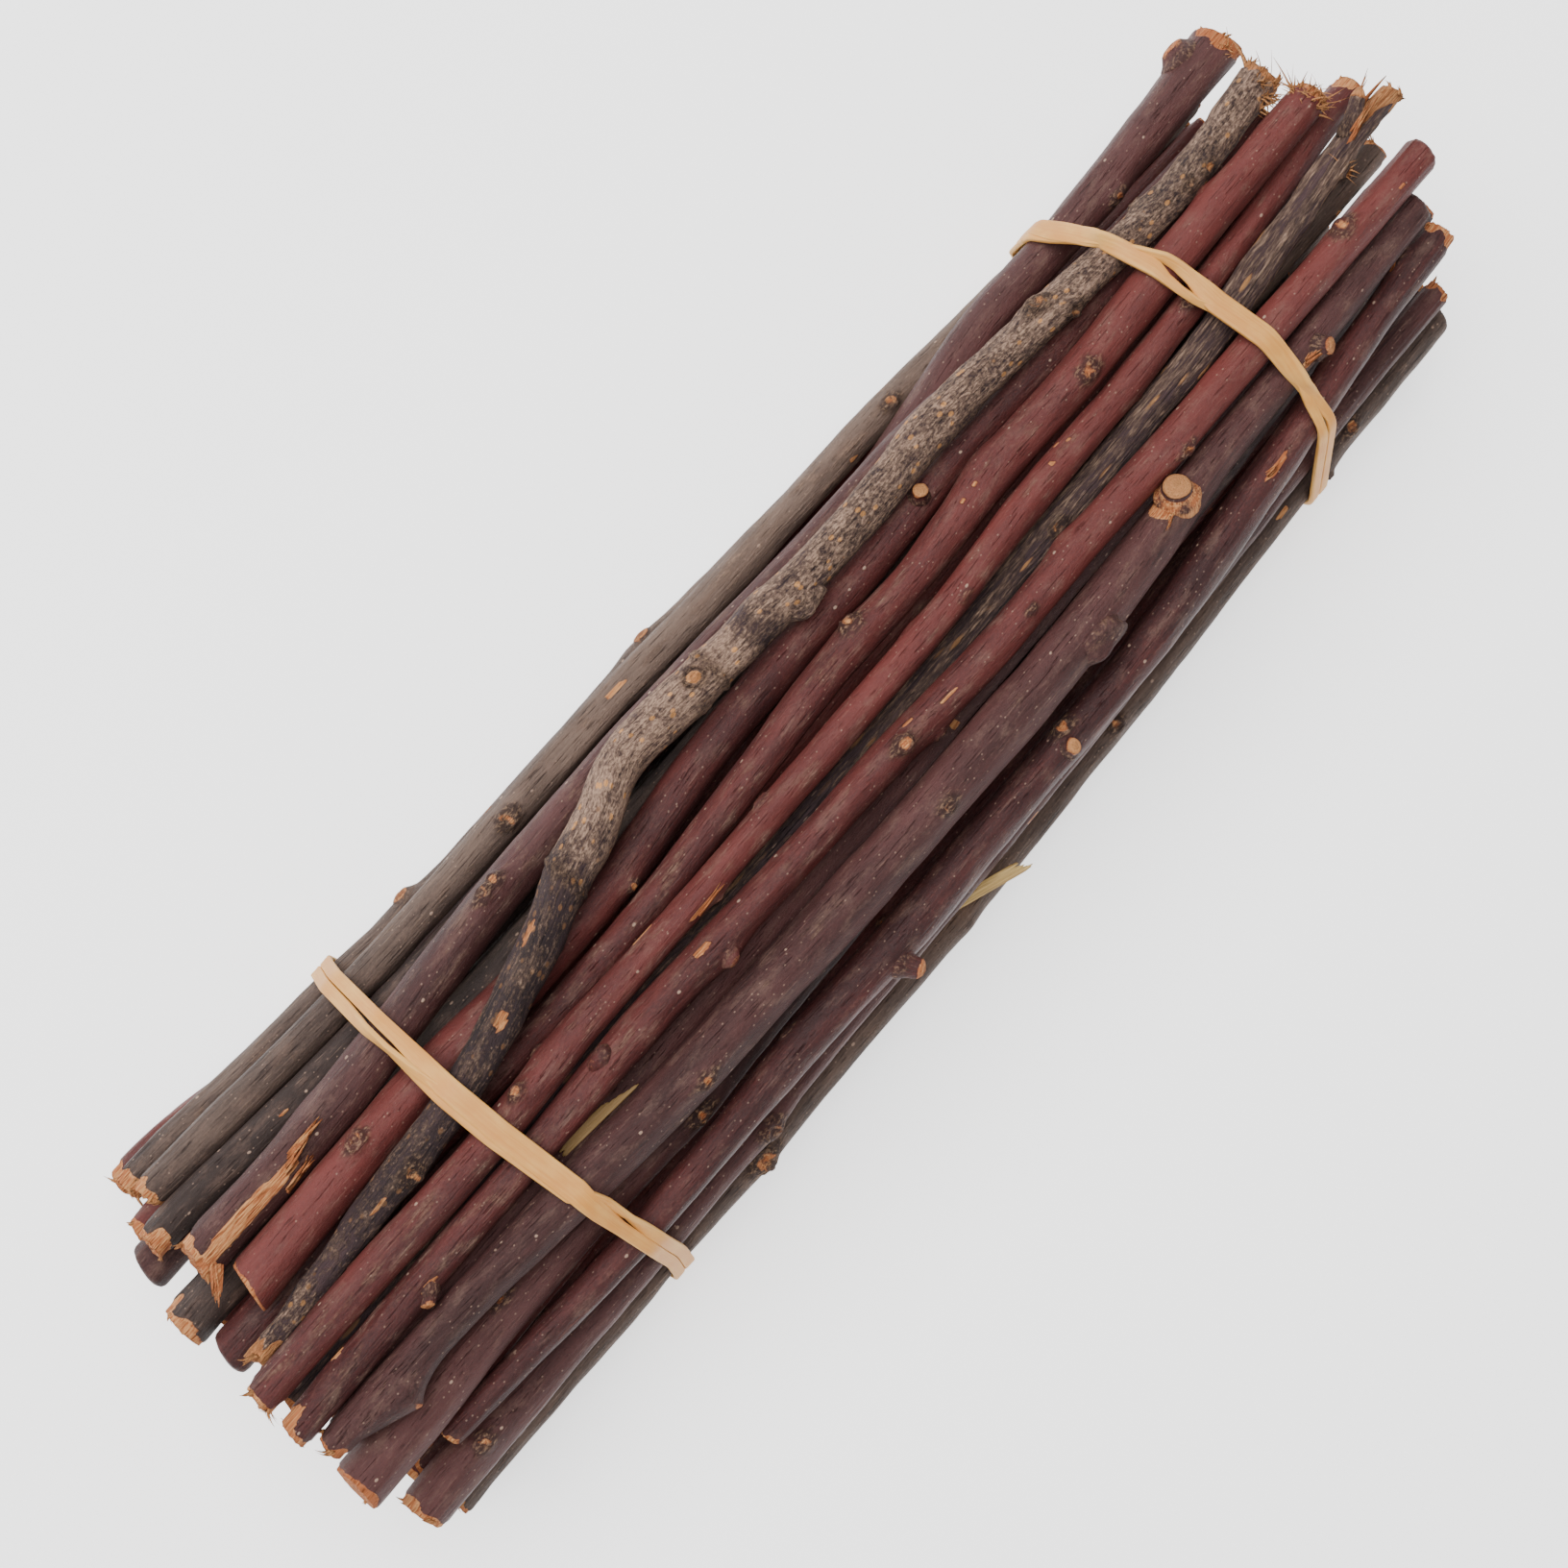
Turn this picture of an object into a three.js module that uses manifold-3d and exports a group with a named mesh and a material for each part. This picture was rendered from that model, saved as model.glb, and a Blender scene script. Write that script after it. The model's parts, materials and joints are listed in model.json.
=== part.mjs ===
// A bundle of cut fruit-tree twigs lying on a table, held by two rubber bands that each go round it twice,
// with two slivers of dry straw caught between the twigs.
// Millimetres, +Z up. X runs along the bundle and Y across it. The origin is on the table, under its middle.
import * as THREE from "three";
import { mergeVertices } from "three/addons/utils/BufferGeometryUtils.js";
import Module from "manifold-3d";

const wasm = await Module();
wasm.setup();

// Driving dimensions
const BAND_NEAR_X = -43.3;
const BAND_FAR_X = 55.7;
const BAND_WIDTH = 2.6;
const BAND_THICKNESS = 0.9;
const CLEARANCE = 0.35; // gap kept between pieces that lie against each other
const BAND_SQUEEZE = 0.25; // how far the bands are pressed flat where the bundle rests on them
const AXIS_Y = -1.5; // the line that the bands draw the twigs towards
const AXIS_Z = 10;
const ROW_DIAMETER = 4.4; // of the twigs inside and underneath
const ROW_START_X = -72;
const ROW_END_X = 75;

// The routes of the shown twigs are drawn on one level, as they look from a point above the thick end.
const VIEW_POINT = new THREE.Vector3(-31.4, 0, 252.2);
const TRACE_LEVEL = 24;

// Cross-sections in which the twigs are settled against each other, and where each one bends
const STATION_STEP = (BAND_FAR_X - BAND_NEAR_X) / 8;
const STATIONS = Array.from({ length: 15 }, (_, k) => BAND_NEAR_X + (k - 3) * STATION_STEP);

// Finishes
const finish = (color, roughness) => new THREE.MeshStandardMaterial({ color, roughness, metalness: 0 });
const RED = finish(0x74332f, 0.5);
const PLUM = finish(0x553b3c, 0.6);
const GREY = finish(0x83725f, 0.8);
const OLIVE = finish(0x5e564b, 0.7);
const RUBBER = finish(0xcfa86f, 0.55);
const STRAW = finish(0xd9b878, 0.6);

// Twigs that show on top and at the sides: x, y and diameter as drawn on TRACE_LEVEL, then the height z
const SHOWN = {
  twig_crown_grey: { bark: GREY, route: [
    [-72, 1.8, 1.8, 24], [-60, 2.8, 2.9, 24.8], [-50, 3, 3.7, 25.4], [-40, 4.4, 3.7, 25.8],
    [-30, 6.8, 3.8, 26.2], [-20, 9.7, 4.9, 26], [-10, 12.2, 4.3, 25.5], [0, 12.1, 4, 25.2],
    [10, 10.9, 4.4, 25.2], [20, 11, 4, 25], [30, 11.3, 4.1, 24.8], [40, 10.7, 3.8, 24.5],
    [50, 9.7, 3.9, 24.4], [60, 9.1, 3.2, 24.2], [70, 9, 3.7, 24], [77.5, 10, 4, 24]] },
  twig_crown_slim: { bark: RED, route: [
    [-74.3, -0.2, 3.3, 25.5], [-60, -0.2, 3.7, 25.5], [-50, -0.8, 3.5, 25.5],
    [-40, -0.6, 3.6, 25.5], [-30, -0.3, 3.2, 25.5], [-20, -0.45, 2.9, 25.5], [10, -0.5, 3.1, 25.5],
    [20, -0.45, 3.2, 25.5], [30, 0.3, 3.5, 25.3], [50, 0.4, 3, 24.6], [60, 1, 2.9, 24],
    [70, 1.6, 2.9, 22.5], [81.7, 3, 3.4, 21.5]] },
  twig_crown_long: { bark: RED, route: [
    [-74.7, -4.5, 3.2, 25.5], [-60, -4.3, 3.3, 25.5], [-40, -4.4, 3.2, 25.5],
    [-30, -4.1, 3.9, 25.5], [-20, -5.2, 3.6, 25.5], [0, -5.1, 3.4, 25.5], [10, -5.6, 3.5, 25.5],
    [20, -6.2, 3.7, 25.5], [30, -5.9, 3.5, 25.5], [50, -6.2, 3.7, 25.5], [82, -6.4, 3.6, 25.5]] },
  twig_crown_red: { bark: RED, route: [
    [-73, 4.6, 4.2, 19], [-60, 4.2, 4, 19], [-50, 3.6, 3.6, 19.5], [-40, 2.8, 3.2, 20.5],
    [-30, 2.4, 3, 22], [-20, 2.4, 3, 23.8], [-10, 2.8, 3.3, 24.8], [0, 3.6, 3.5, 25.3],
    [10, 4, 3.7, 25.5], [20, 3.7, 3.6, 25.5], [30, 4.6, 4.3, 25.5], [40, 4.2, 4.2, 25.5],
    [60, 5, 4.3, 25.5], [79, 5.2, 3.7, 25.5]] },
  twig_crown_plum: { bark: PLUM, route: [
    [-73, -7.3, 2.4, 22.5], [-70, -7.6, 3.2, 22.5], [-60, -7.9, 3.5, 22.8], [-50, -8.6, 4.1, 23],
    [-40, -9.4, 4.7, 23.3], [-30, -10.15, 4.8, 23.3], [-20, -10.4, 4.8, 23.3],
    [-10, -11, 5.2, 23.3], [20, -11.2, 5.1, 23.3], [30, -11, 5, 23.3], [40, -10.1, 4.1, 23.2],
    [50, -9.9, 3.5, 23], [60, -9.7, 3.3, 22.8], [70, -9.1, 3.4, 22.5], [77.5, -9, 3.2, 22.5]] },
  twig_crown_forked: { bark: GREY, route: [
    [-73, -2.5, 3, 21.5], [-50, -2.7, 3, 21.5], [-30, -2.4, 3, 21.5], [-10, -3, 3, 21.5],
    [10, -3.1, 3, 21.5], [30, -2.85, 3, 22.5], [40, -2.8, 3, 23], [50, -2.6, 3, 23.6],
    [60, -1.9, 3.1, 24.3], [70, -0.8, 3.1, 25], [78, 0.4, 3.2, 25], [84.3, -0.5, 1.8, 25]] },
  twig_shoulder_bright: { bark: RED, route: [
    [-67.8, 6.5, 4.9, 24.5], [-60, 6.7, 4.7, 24.5], [-50, 7, 4.4, 24], [-40, 6.7, 4.2, 22.5],
    [-30, 5.9, 4, 22], [-20, 5.7, 4, 22.4], [-10, 6.9, 4, 22.4], [0, 7.4, 3.9, 22.4],
    [20, 7.5, 3.8, 22.4], [30, 7.8, 3.6, 22.4], [40, 7.5, 3.4, 22], [50, 7.2, 3.3, 21.4],
    [60, 7, 3.2, 20.6], [74, 7, 3, 20]] },
  twig_shoulder_torn: { bark: PLUM, route: [
    [-69, 11.6, 4.4, 22], [-50, 11.3, 4.4, 22], [-40, 12.1, 4.4, 21.8], [-30, 12.8, 4.2, 21.4],
    [-20, 13.1, 4, 21], [-10, 13.3, 3.8, 20.4], [0, 13, 3.6, 20], [10, 12.5, 3.4, 19.6],
    [30, 12, 3.2, 19], [40, 10.6, 3.2, 18], [60, 9.4, 3, 17], [75, 9, 3, 16]] },
  twig_shoulder_knobbed: { bark: PLUM, route: [
    [-72.2, 13.6, 4.3, 13.5], [-40, 13, 4.2, 12.4], [0, 11.2, 4, 12.4], [20, 10.8, 4, 14.2],
    [30, 12, 4, 16.2], [40, 13.4, 3.9, 18], [50, 13.2, 3.9, 19.5], [60, 13.2, 4, 20],
    [70, 14, 4.4, 20.5], [77.8, 14.2, 5.2, 20.5]] },
  twig_side_smooth: { bark: OLIVE, route: [
    [-67.5, 18, 3.3, 17], [-50, 16.8, 3.3, 17], [-40, 16.2, 3.3, 17], [-10, 16.2, 3.3, 17],
    [0, 15.9, 3.3, 17], [10, 15.2, 3.3, 16.6], [20, 15.2, 3.2, 15], [30, 15, 3.2, 13.4],
    [40, 14.4, 3.1, 13.2], [60, 13.2, 3, 14], [72, 12.8, 3, 14]] },
  twig_side_dark: { bark: OLIVE, route: [
    [-70.5, 15.6, 3.2, 17], [-60, 14.9, 3.2, 17], [-50, 14.2, 3.1, 17], [-35, 13.4, 3, 16.6],
    [0, 12.4, 2.8, 16.4], [20, 9.6, 2.4, 16.6], [40, 8.4, 2.4, 14.6], [72, 8.6, 2.4, 13]] },
  twig_side_bumpy: { bark: OLIVE, route: [
    [-68.5, 20.2, 3.2, 12], [-60, 19.4, 3.2, 12], [-50, 18.6, 3.2, 12], [-40, 17.9, 3.2, 12],
    [-30, 17, 3.1, 12], [0, 16.6, 3, 12], [30, 15.2, 2.9, 11.5], [50, 13.6, 2.8, 10.5],
    [70, 13, 2.7, 9.5]] },
  twig_side_low: { bark: RED, route: [
    [-68.3, 21.8, 3, 8], [-60, 20.3, 3, 8], [-50, 18.8, 3, 8], [-40, 17.4, 3, 8], [0, 16, 3, 8],
    [50, 13, 2.8, 7], [70, 13, 2.7, 6.5]] },
  twig_flank_plum: { bark: PLUM, route: [
    [-74.5, -13, 5.2, 19.6], [-70, -13.1, 5.1, 19.6], [-60, -12.9, 4.5, 19.6],
    [-50, -13.1, 3.6, 19.4], [-40, -13.4, 3.3, 19], [-30, -14, 3, 18], [0, -13.4, 3, 17],
    [40, -12.6, 3, 17], [77.9, -11.1, 2.8, 18]] },
  twig_flank_red: { bark: RED, route: [
    [-66, -14.2, 2.4, 17.5], [-60, -14.6, 2.6, 18], [-50, -15.4, 2.9, 18.8],
    [-40, -15.8, 3.1, 19.5], [-30, -15.7, 3.2, 19.8], [-20, -15.6, 3.7, 20], [-10, -16.2, 4.2, 20],
    [0, -16, 3.9, 20], [20, -16.2, 3.6, 20], [30, -15.9, 3.8, 20], [40, -15, 4.2, 20],
    [50, -14.1, 3.8, 20], [60, -13.3, 3.2, 20], [70, -12.1, 3.2, 20], [76.8, -11.7, 3.2, 19.8]] },
  twig_flank_slim: { bark: PLUM, route: [
    [-72.8, -18.1, 4.7, 15.5], [-60, -18, 4.3, 15.5], [-50, -18.4, 3.7, 15.5],
    [-40, -18.5, 3.3, 15.5], [-20, -18.3, 3.1, 15.5], [10, -18.1, 3, 15.5], [20, -17.8, 2.9, 15.5],
    [40, -17.2, 2.8, 15.5], [60, -16.4, 2.6, 15.5], [73.2, -16.4, 2.5, 15.5]] },
  twig_flank_grey: { bark: OLIVE, route: [
    [-70, -20, 2.9, 11], [0, -20.4, 2.9, 11], [10, -19.9, 2.9, 11], [30, -19.6, 2.9, 11],
    [40, -19, 2.9, 11], [50, -18.5, 2.9, 11], [71.5, -18.2, 2.8, 11]] },
};

// Twigs of the next layer down, of which only an end shows between those above
const TUCKED = {
  twig_tucked_ochre: { bark: OLIVE, route: [
    [-73.8, 9.6, 4.4, 18], [0, 9.4, 4.2, 17.5], [70, 8, 3.8, 16.5]] },
  twig_tucked_red: { bark: RED, route: [
    [-70.5, 18.2, 2.8, 11.5], [-30, 15, 2.8, 9], [0, 14.4, 2.8, 9], [70, 11.5, 2.8, 9]] },
  twig_tucked_grey: { bark: OLIVE, route: [
    [-72, -1.4, 3.4, 17.6], [0, -3, 3.4, 18], [79, -3.5, 3.2, 18.5]] },
  twig_tucked_plum: { bark: PLUM, route: [
    [-71, -7.6, 4.6, 18.4], [0, -7.4, 4.4, 18.6], [76, -6.6, 3.8, 18]] },
  twig_tucked_rising: { bark: RED, route: [
    [-71, 1.4, 4.4, 15], [-20, 2, 4.4, 17.6], [10, 2.6, 4.3, 19.6], [72, 2.4, 3.8, 19.4]] },
  twig_tucked_slim: { bark: RED, route: [
    [-70, -14.6, 3, 14], [0, -14.4, 2.8, 15], [73.7, -14.2, 2.3, 16.5]] },
};

// Twigs that fill the inside and the underside, in level rows from one flank to the other
const ROWS = [
  { layer: "under", z: 2.4, from: -11.5, to: 10.5, count: 5, sides: 6 },
  { layer: "low", z: 6.6, from: -16, to: 12.6, count: 6, sides: 6 },
  { layer: "core", z: 10.8, from: -15.4, to: 10.4, count: 6, sides: 5 },
  { layer: "heart", z: 15, from: -10.5, to: 6.4, count: 4, sides: 5 },
];
const ROW_BENDS = [0, 0.2, 0.4, 0.6, 0.8, 1];
const BEND = 0.5; // most that a bend goes to one side

// Side shoots cut short: the twig, the place along it, the turn about it (0 is +Y, 90 is up), reach and width
const SHOOTS = [
  { on: "twig_crown_plum", x: 40.4, turn: 66, reach: 1.1, wide: 2.7, lean: 0.1 },
  { on: "twig_crown_plum", x: 25.5, turn: 150, reach: 0.9, wide: 3, lean: -0.3 },
  { on: "twig_crown_plum", x: -66.5, turn: 160, reach: 1.4, wide: 2.6, lean: 0.5 },
  { on: "twig_crown_plum", x: 60, turn: 135, reach: 1, wide: 2.2, lean: 0.5 },
  { on: "twig_shoulder_bright", x: 24.8, turn: 80, reach: 0.8, wide: 2, lean: 0.2 },
  { on: "twig_shoulder_knobbed", x: 75, turn: 20, reach: 0.9, wide: 3.4, lean: -0.2 },
  { on: "twig_crown_forked", x: 77, turn: 35, reach: 3, wide: 2, lean: 1.4 },
  { on: "twig_crown_grey", x: 10.3, turn: 165, reach: 0.8, wide: 2.6, lean: -0.3 },
  { on: "twig_crown_long", x: -32, turn: 60, reach: 0.8, wide: 1.8, lean: -0.8 },
  { on: "twig_crown_long", x: -57, turn: 150, reach: 0.9, wide: 1.8, lean: -0.8 },
  { on: "twig_crown_long", x: -18.5, turn: 150, reach: 0.7, wide: 1.8, lean: 0 },
  { on: "twig_flank_red", x: -9, turn: 165, reach: 1.6, wide: 2.4, lean: 0.4 },
  { on: "twig_flank_red", x: 16.4, turn: 105, reach: 0.6, wide: 2, lean: 0.3 },
  { on: "twig_side_bumpy", x: 0.2, turn: 30, reach: 0.6, wide: 2.4, lean: 0 },
  { on: "twig_side_bumpy", x: -33.5, turn: 30, reach: 0.6, wide: 2.4, lean: 0 },
];

// Slivers of straw caught between the twigs, from one point to the other, and the way their flat side faces
const STRAW_THICKNESS = 0.4;
const STRAWS = [
  { name: "straw_outer", from: [-6, -17.6, 12], to: [8, -22.5, 14.3], facing: [0, 0.47, 0.88], width: 1.3 },
  { name: "straw_inner", from: [-41.5, -6.45, 23.7], to: [-32, -7.3, 23.6], facing: [0, 0, 1], width: 1 },
];

// A repeatable draw from 0 to 1, for the lengths and bends that nothing fixes
let seed = 7;
function chance() {
  seed = (seed * 16807) % 2147483647;
  return seed / 2147483647;
}
const between = (low, high) => THREE.MathUtils.lerp(low, high, chance());

// The value of a route's column at x, straight between its points and level past its ends
function along(route, x, column) {
  if (x <= route[0][0]) return route[0][column];
  const next = route.findIndex((point) => x <= point[0]);
  if (next < 0) return route.at(-1)[column];
  const [a, b] = [route[next - 1], route[next]];
  return THREE.MathUtils.mapLinear(x, a[0], b[0], a[column], b[column]);
}

// A point drawn on TRACE_LEVEL, moved along the line of sight to its own height
function seenAt([x, y, diameter, z]) {
  const reach = (VIEW_POINT.z - z) / (VIEW_POINT.z - TRACE_LEVEL);
  const moved = (eye, drawn) => eye + (drawn - eye) * reach;
  return [moved(VIEW_POINT.x, x), moved(VIEW_POINT.y, y), diameter * reach, z];
}

// How wide the bundle is along its length: narrower at the far band, a little splayed past the bands
const FAR_WAIST = 0.86;
const SPLAY = 0.0025;

function spread(x) {
  const waist = THREE.MathUtils.mapLinear(x, BAND_NEAR_X, BAND_FAR_X, 1, FAR_WAIST);
  const beyond = Math.max(BAND_NEAR_X - x, x - BAND_FAR_X, 0);
  return waist * (1 + SPLAY * beyond);
}

// One twig to be settled: its middle and radius in each cross-section, and how its ends are cut.
// A held twig keeps its route as it is settled, and one that isn't held goes where there is room.
const CUT_SLANT = 0.3;

function twig(name, bark, route, sides, hold) {
  const column = (c) => STATIONS.map((x) => along(route, x, c));
  return {
    name, bark, sides, hold,
    y: column(1),
    z: column(3),
    startY: column(1),
    startZ: column(3),
    radius: column(2).map((diameter) => diameter / 2),
    from: route[0][0],
    to: route.at(-1)[0],
    cuts: [0, 1].map(() => [between(-CUT_SLANT, CUT_SLANT), between(-CUT_SLANT, CUT_SLANT)]),
  };
}

const namedTwigs = (table, sides, hold) =>
  Object.entries(table).map(([name, { bark, route }]) => twig(name, bark, route.map(seenAt), sides, hold));

function rowTwigs({ layer, z, from, to, count, sides }) {
  return Array.from({ length: count }, (_, i) => {
    const aside = THREE.MathUtils.lerp(from, to, i / (count - 1)) - AXIS_Y;
    const diameter = ROW_DIAMETER * between(0.88, 1.06);
    const taper = between(0.78, 0.92);
    const [start, end] = [ROW_START_X + between(-3, 4), ROW_END_X + between(-6, 4)];
    const route = ROW_BENDS.map((share) => {
      const x = THREE.MathUtils.lerp(start, end, share);
      const y = AXIS_Y + aside * spread(x) + between(-BEND, BEND);
      return [x, y, diameter * THREE.MathUtils.lerp(1, taper, share), z * spread(x) + between(-BEND, BEND)];
    });
    return twig(`twig_${layer}_${i + 1}`, [RED, PLUM, OLIVE][i % 3], route, sides, 0);
  });
}

// Settling: the twigs are drawn in by the bands and their weight, pushed out of each other in every
// cross-section, and kept off the table. A held twig gives way upwards more than sideways.
const DRAW_ROUNDS = 1200;
const EASE_ROUNDS = 100;
const REST_ROUNDS = 600;
const DRAW = 0.04;
const WEIGHT = 0.012;
const RETURN = 0.02;
const STIFFNESS = 8;
const HELD = 0.75; // share of a pull or a sideways push that a held twig withstands

// Shares each station's shift with those beside it, as a stiff twig does. STIFFNESS is how many times over.
function stiffen(now, start) {
  const last = now.length - 1;
  let shift = now.map((value, k) => value - start[k]);
  for (let pass = 0; pass < STIFFNESS; pass++) {
    shift = shift.map((s, k) => (shift[Math.max(k - 1, 0)] + 2 * s + shift[Math.min(k + 1, last)]) / 4);
  }
  shift.forEach((s, k) => {
    now[k] = start[k] + s;
  });
}

function drawIn(t) {
  for (const k of STATIONS.keys()) {
    const [dy, dz] = [AXIS_Y - t.y[k], AXIS_Z - t.z[k]];
    const pull = (DRAW * (1 - HELD * t.hold)) / Math.max(Math.hypot(dy, dz), ROW_DIAMETER);
    t.y[k] += pull * dy + RETURN * t.hold * (t.startY[k] - t.y[k]);
    t.z[k] += pull * dz - WEIGHT + RETURN * t.hold * (t.startZ[k] - t.z[k]);
  }
}

const isPresent = (t, k) => STATIONS[k] > t.from - STATION_STEP && STATIONS[k] < t.to + STATION_STEP;
const isAtBand = (k) => [BAND_NEAR_X, BAND_FAR_X].some((x) => Math.abs(STATIONS[k] - x) < CLEARANCE);

const UNDER_BAND = CLEARANCE + BAND_THICKNESS - BAND_SQUEEZE;

function keepOffTable(t, k) {
  const toFlatSide = t.radius[k] * Math.cos(Math.PI / t.sides);
  const lowest = isAtBand(k) ? t.radius[k] + UNDER_BAND : toFlatSide;
  t.z[k] = Math.max(t.z[k], lowest);
}

// Moves every overlapping pair apart at one station, or halfway between two, and returns the worst overlap
function pushApart(twigs, stations) {
  const mean = (values) => stations.reduce((sum, k) => sum + values[k], 0) / stations.length;
  const here = twigs
    .filter((t) => stations.every((k) => isPresent(t, k)))
    .map((t) => ({ t, y: mean(t.y), z: mean(t.z), radius: mean(t.radius), sideways: 1 - HELD * t.hold }));
  let worst = 0;
  here.forEach((a, i) => {
    for (const b of here.slice(i + 1)) {
      const [dy, dz] = [b.y - a.y, b.z - a.z];
      const apart = Math.hypot(dy, dz);
      const overlap = a.radius + b.radius + CLEARANCE - apart;
      if (overlap <= 0) continue;
      worst = Math.max(worst, overlap);
      const [pushY, pushZ] = [dy, dz].map((d) => ((d / apart) * overlap) / 2);
      a.y -= pushY * a.sideways;
      b.y += pushY * b.sideways;
      a.z -= pushZ;
      b.z += pushZ;
    }
  });
  for (const { t, y, z } of here) {
    const [shiftY, shiftZ] = [y - mean(t.y), z - mean(t.z)];
    for (const k of stations) {
      t.y[k] += shiftY;
      t.z[k] += shiftZ;
      keepOffTable(t, k);
    }
  }
  return worst;
}

// Every station, and every place halfway between two
const PLACES = [...STATIONS.keys()].flatMap((k) => (k ? [[k - 1, k], [k]] : [[k]]));

function settle(twigs) {
  let worst = 0;
  for (let round = 0; round < DRAW_ROUNDS + EASE_ROUNDS + REST_ROUNDS; round++) {
    if (round < DRAW_ROUNDS) twigs.forEach(drawIn);
    if (round < DRAW_ROUNDS + EASE_ROUNDS) {
      for (const t of twigs) {
        stiffen(t.y, t.startY);
        stiffen(t.z, t.startZ);
      }
    }
    worst = Math.max(...PLACES.map((stations) => pushApart(twigs, stations)));
  }
  if (worst > CLEARANCE) throw new Error(`the twigs still overlap by ${worst - CLEARANCE} mm`);
}

// Moves every vertex of a geometry to where place puts it
function reshape(geometry, place) {
  const positions = geometry.attributes.position;
  const vertex = new THREE.Vector3();
  for (let i = 0; i < positions.count; i++) {
    place(vertex.fromBufferAttribute(positions, i));
    positions.setXYZ(i, vertex.x, vertex.y, vertex.z);
  }
  return geometry;
}

// A settled twig's middle and radius at any place along it
function sectionAt(t, x) {
  const place = (x - STATIONS[0]) / STATION_STEP;
  const k = THREE.MathUtils.clamp(Math.floor(place), 0, STATIONS.length - 2);
  const [y, z, radius] = [t.y, t.z, t.radius].map((v) => THREE.MathUtils.lerp(v[k], v[k + 1], place - k));
  return { x, y, z, radius };
}

// A twig is a cylinder laid along X with a flat side down: each of its rings is moved to a bend of the twig,
// and the first and last ring lean, as a slanting cut does.
const END_ROOM = 2; // nearest that a bend may come to a cut end

function twigGeometry(t) {
  const bends = STATIONS.filter((x) => x > t.from + END_ROOM && x < t.to - END_ROOM);
  const sections = [t.from, ...bends, t.to].map((x) => ({ ...sectionAt(t, x), slant: [0, 0] }));
  sections[0].slant = t.cuts[0];
  sections.at(-1).slant = t.cuts[1];
  const spans = sections.length - 1;
  const cylinder = new THREE.CylinderGeometry(1, 1, 1, t.sides, spans, false, Math.PI + Math.PI / t.sides);
  return reshape(cylinder, (vertex) => {
    const { x, y, z, radius, slant } = sections[Math.round((0.5 - vertex.y) * spans)];
    const [dy, dz] = [radius * vertex.x, radius * vertex.z];
    vertex.set(x + slant[0] * dy + slant[1] * dz, y + dy, z + dz);
  });
}

// Joining solids
function solid(geometry) {
  const bare = geometry.clone();
  bare.deleteAttribute("normal");
  bare.deleteAttribute("uv");
  const merged = mergeVertices(bare);
  const vertProperties = new Float32Array(merged.attributes.position.array);
  const triVerts = new Uint32Array(merged.index.array);
  return new wasm.Manifold(new wasm.Mesh({ numProp: 3, vertProperties, triVerts }));
}

function geometryOf(manifold) {
  const { vertProperties, triVerts } = manifold.getMesh();
  return new THREE.BufferGeometry()
    .setAttribute("position", new THREE.BufferAttribute(vertProperties, 3))
    .setIndex(new THREE.BufferAttribute(triVerts, 1));
}

// A shoot cut short: a stump that narrows from inside the twig to its cut face
const SHOOT_SIDES = 6;
const SHOOT_TAPER = 0.72;
const SHOOT_ROOT = 0.2; // where it starts, as a share of the twig's radius

function shootGeometry(t, { x, turn, reach, wide, lean }) {
  const root = sectionAt(t, x);
  const around = THREE.MathUtils.degToRad(turn);
  const out = new THREE.Vector3(lean, Math.cos(around), Math.sin(around)).normalize();
  const length = root.radius * (1 - SHOOT_ROOT) + reach;
  const stump = new THREE.CylinderGeometry((wide / 2) * SHOOT_TAPER, wide / 2, length, SHOOT_SIDES);
  stump.translate(0, root.radius * SHOOT_ROOT + length / 2, 0);
  stump.applyQuaternion(new THREE.Quaternion().setFromUnitVectors(new THREE.Vector3(0, 1, 0), out));
  return stump.translate(root.x, root.y, root.z);
}

function namedMesh(name, geometry, material) {
  const mesh = new THREE.Mesh(geometry, material);
  mesh.name = name;
  return mesh;
}

function twigMesh(t) {
  const shoots = SHOOTS.filter((shoot) => shoot.on === t.name).map((shoot) => solid(shootGeometry(t, shoot)));
  const whole = shoots.reduce((body, shoot) => body.add(shoot), solid(twigGeometry(t)));
  return namedMesh(t.name, geometryOf(whole), t.bark);
}

// How far the bands wander along X over the top of the bundle, by y. Underneath they run straight across.
const NEAR_SWAY = [[-20, 1.4], [-15, 1.2], [-12, 0.7], [-8, 0.25], [0, -0.2], [18, -0.2]];
const FAR_SWAY = [[-18.5, -1], [-17, 0.4], [-15, 0.9], [-6, 1], [1, 0.3], [8.5, -1.2], [14.5, -2.6]];
const SWAY_STARTS = 4; // heights between which the wander grows from nothing to all of it
const SWAY_FULL = 16;

const swayAt = (sway, y, z) => along(sway, y, 1) * THREE.MathUtils.smoothstep(z, SWAY_STARTS, SWAY_FULL);

// The outline that a taut band takes round the twigs: the hull of their sections, grown by the clearance
const ARC_STEPS = 24;
const CROWDED = 0.3; // hull points closer than this to the last are left out

const turnOf = (a, b, c) => (b.x - a.x) * (c.y - a.y) - (b.y - a.y) * (c.x - a.x);

function halfHull(points) {
  return points.reduce((chain, p) => {
    while (chain.length > 1 && turnOf(chain.at(-2), chain.at(-1), p) <= 0) chain.pop();
    return [...chain, p];
  }, []);
}

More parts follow.
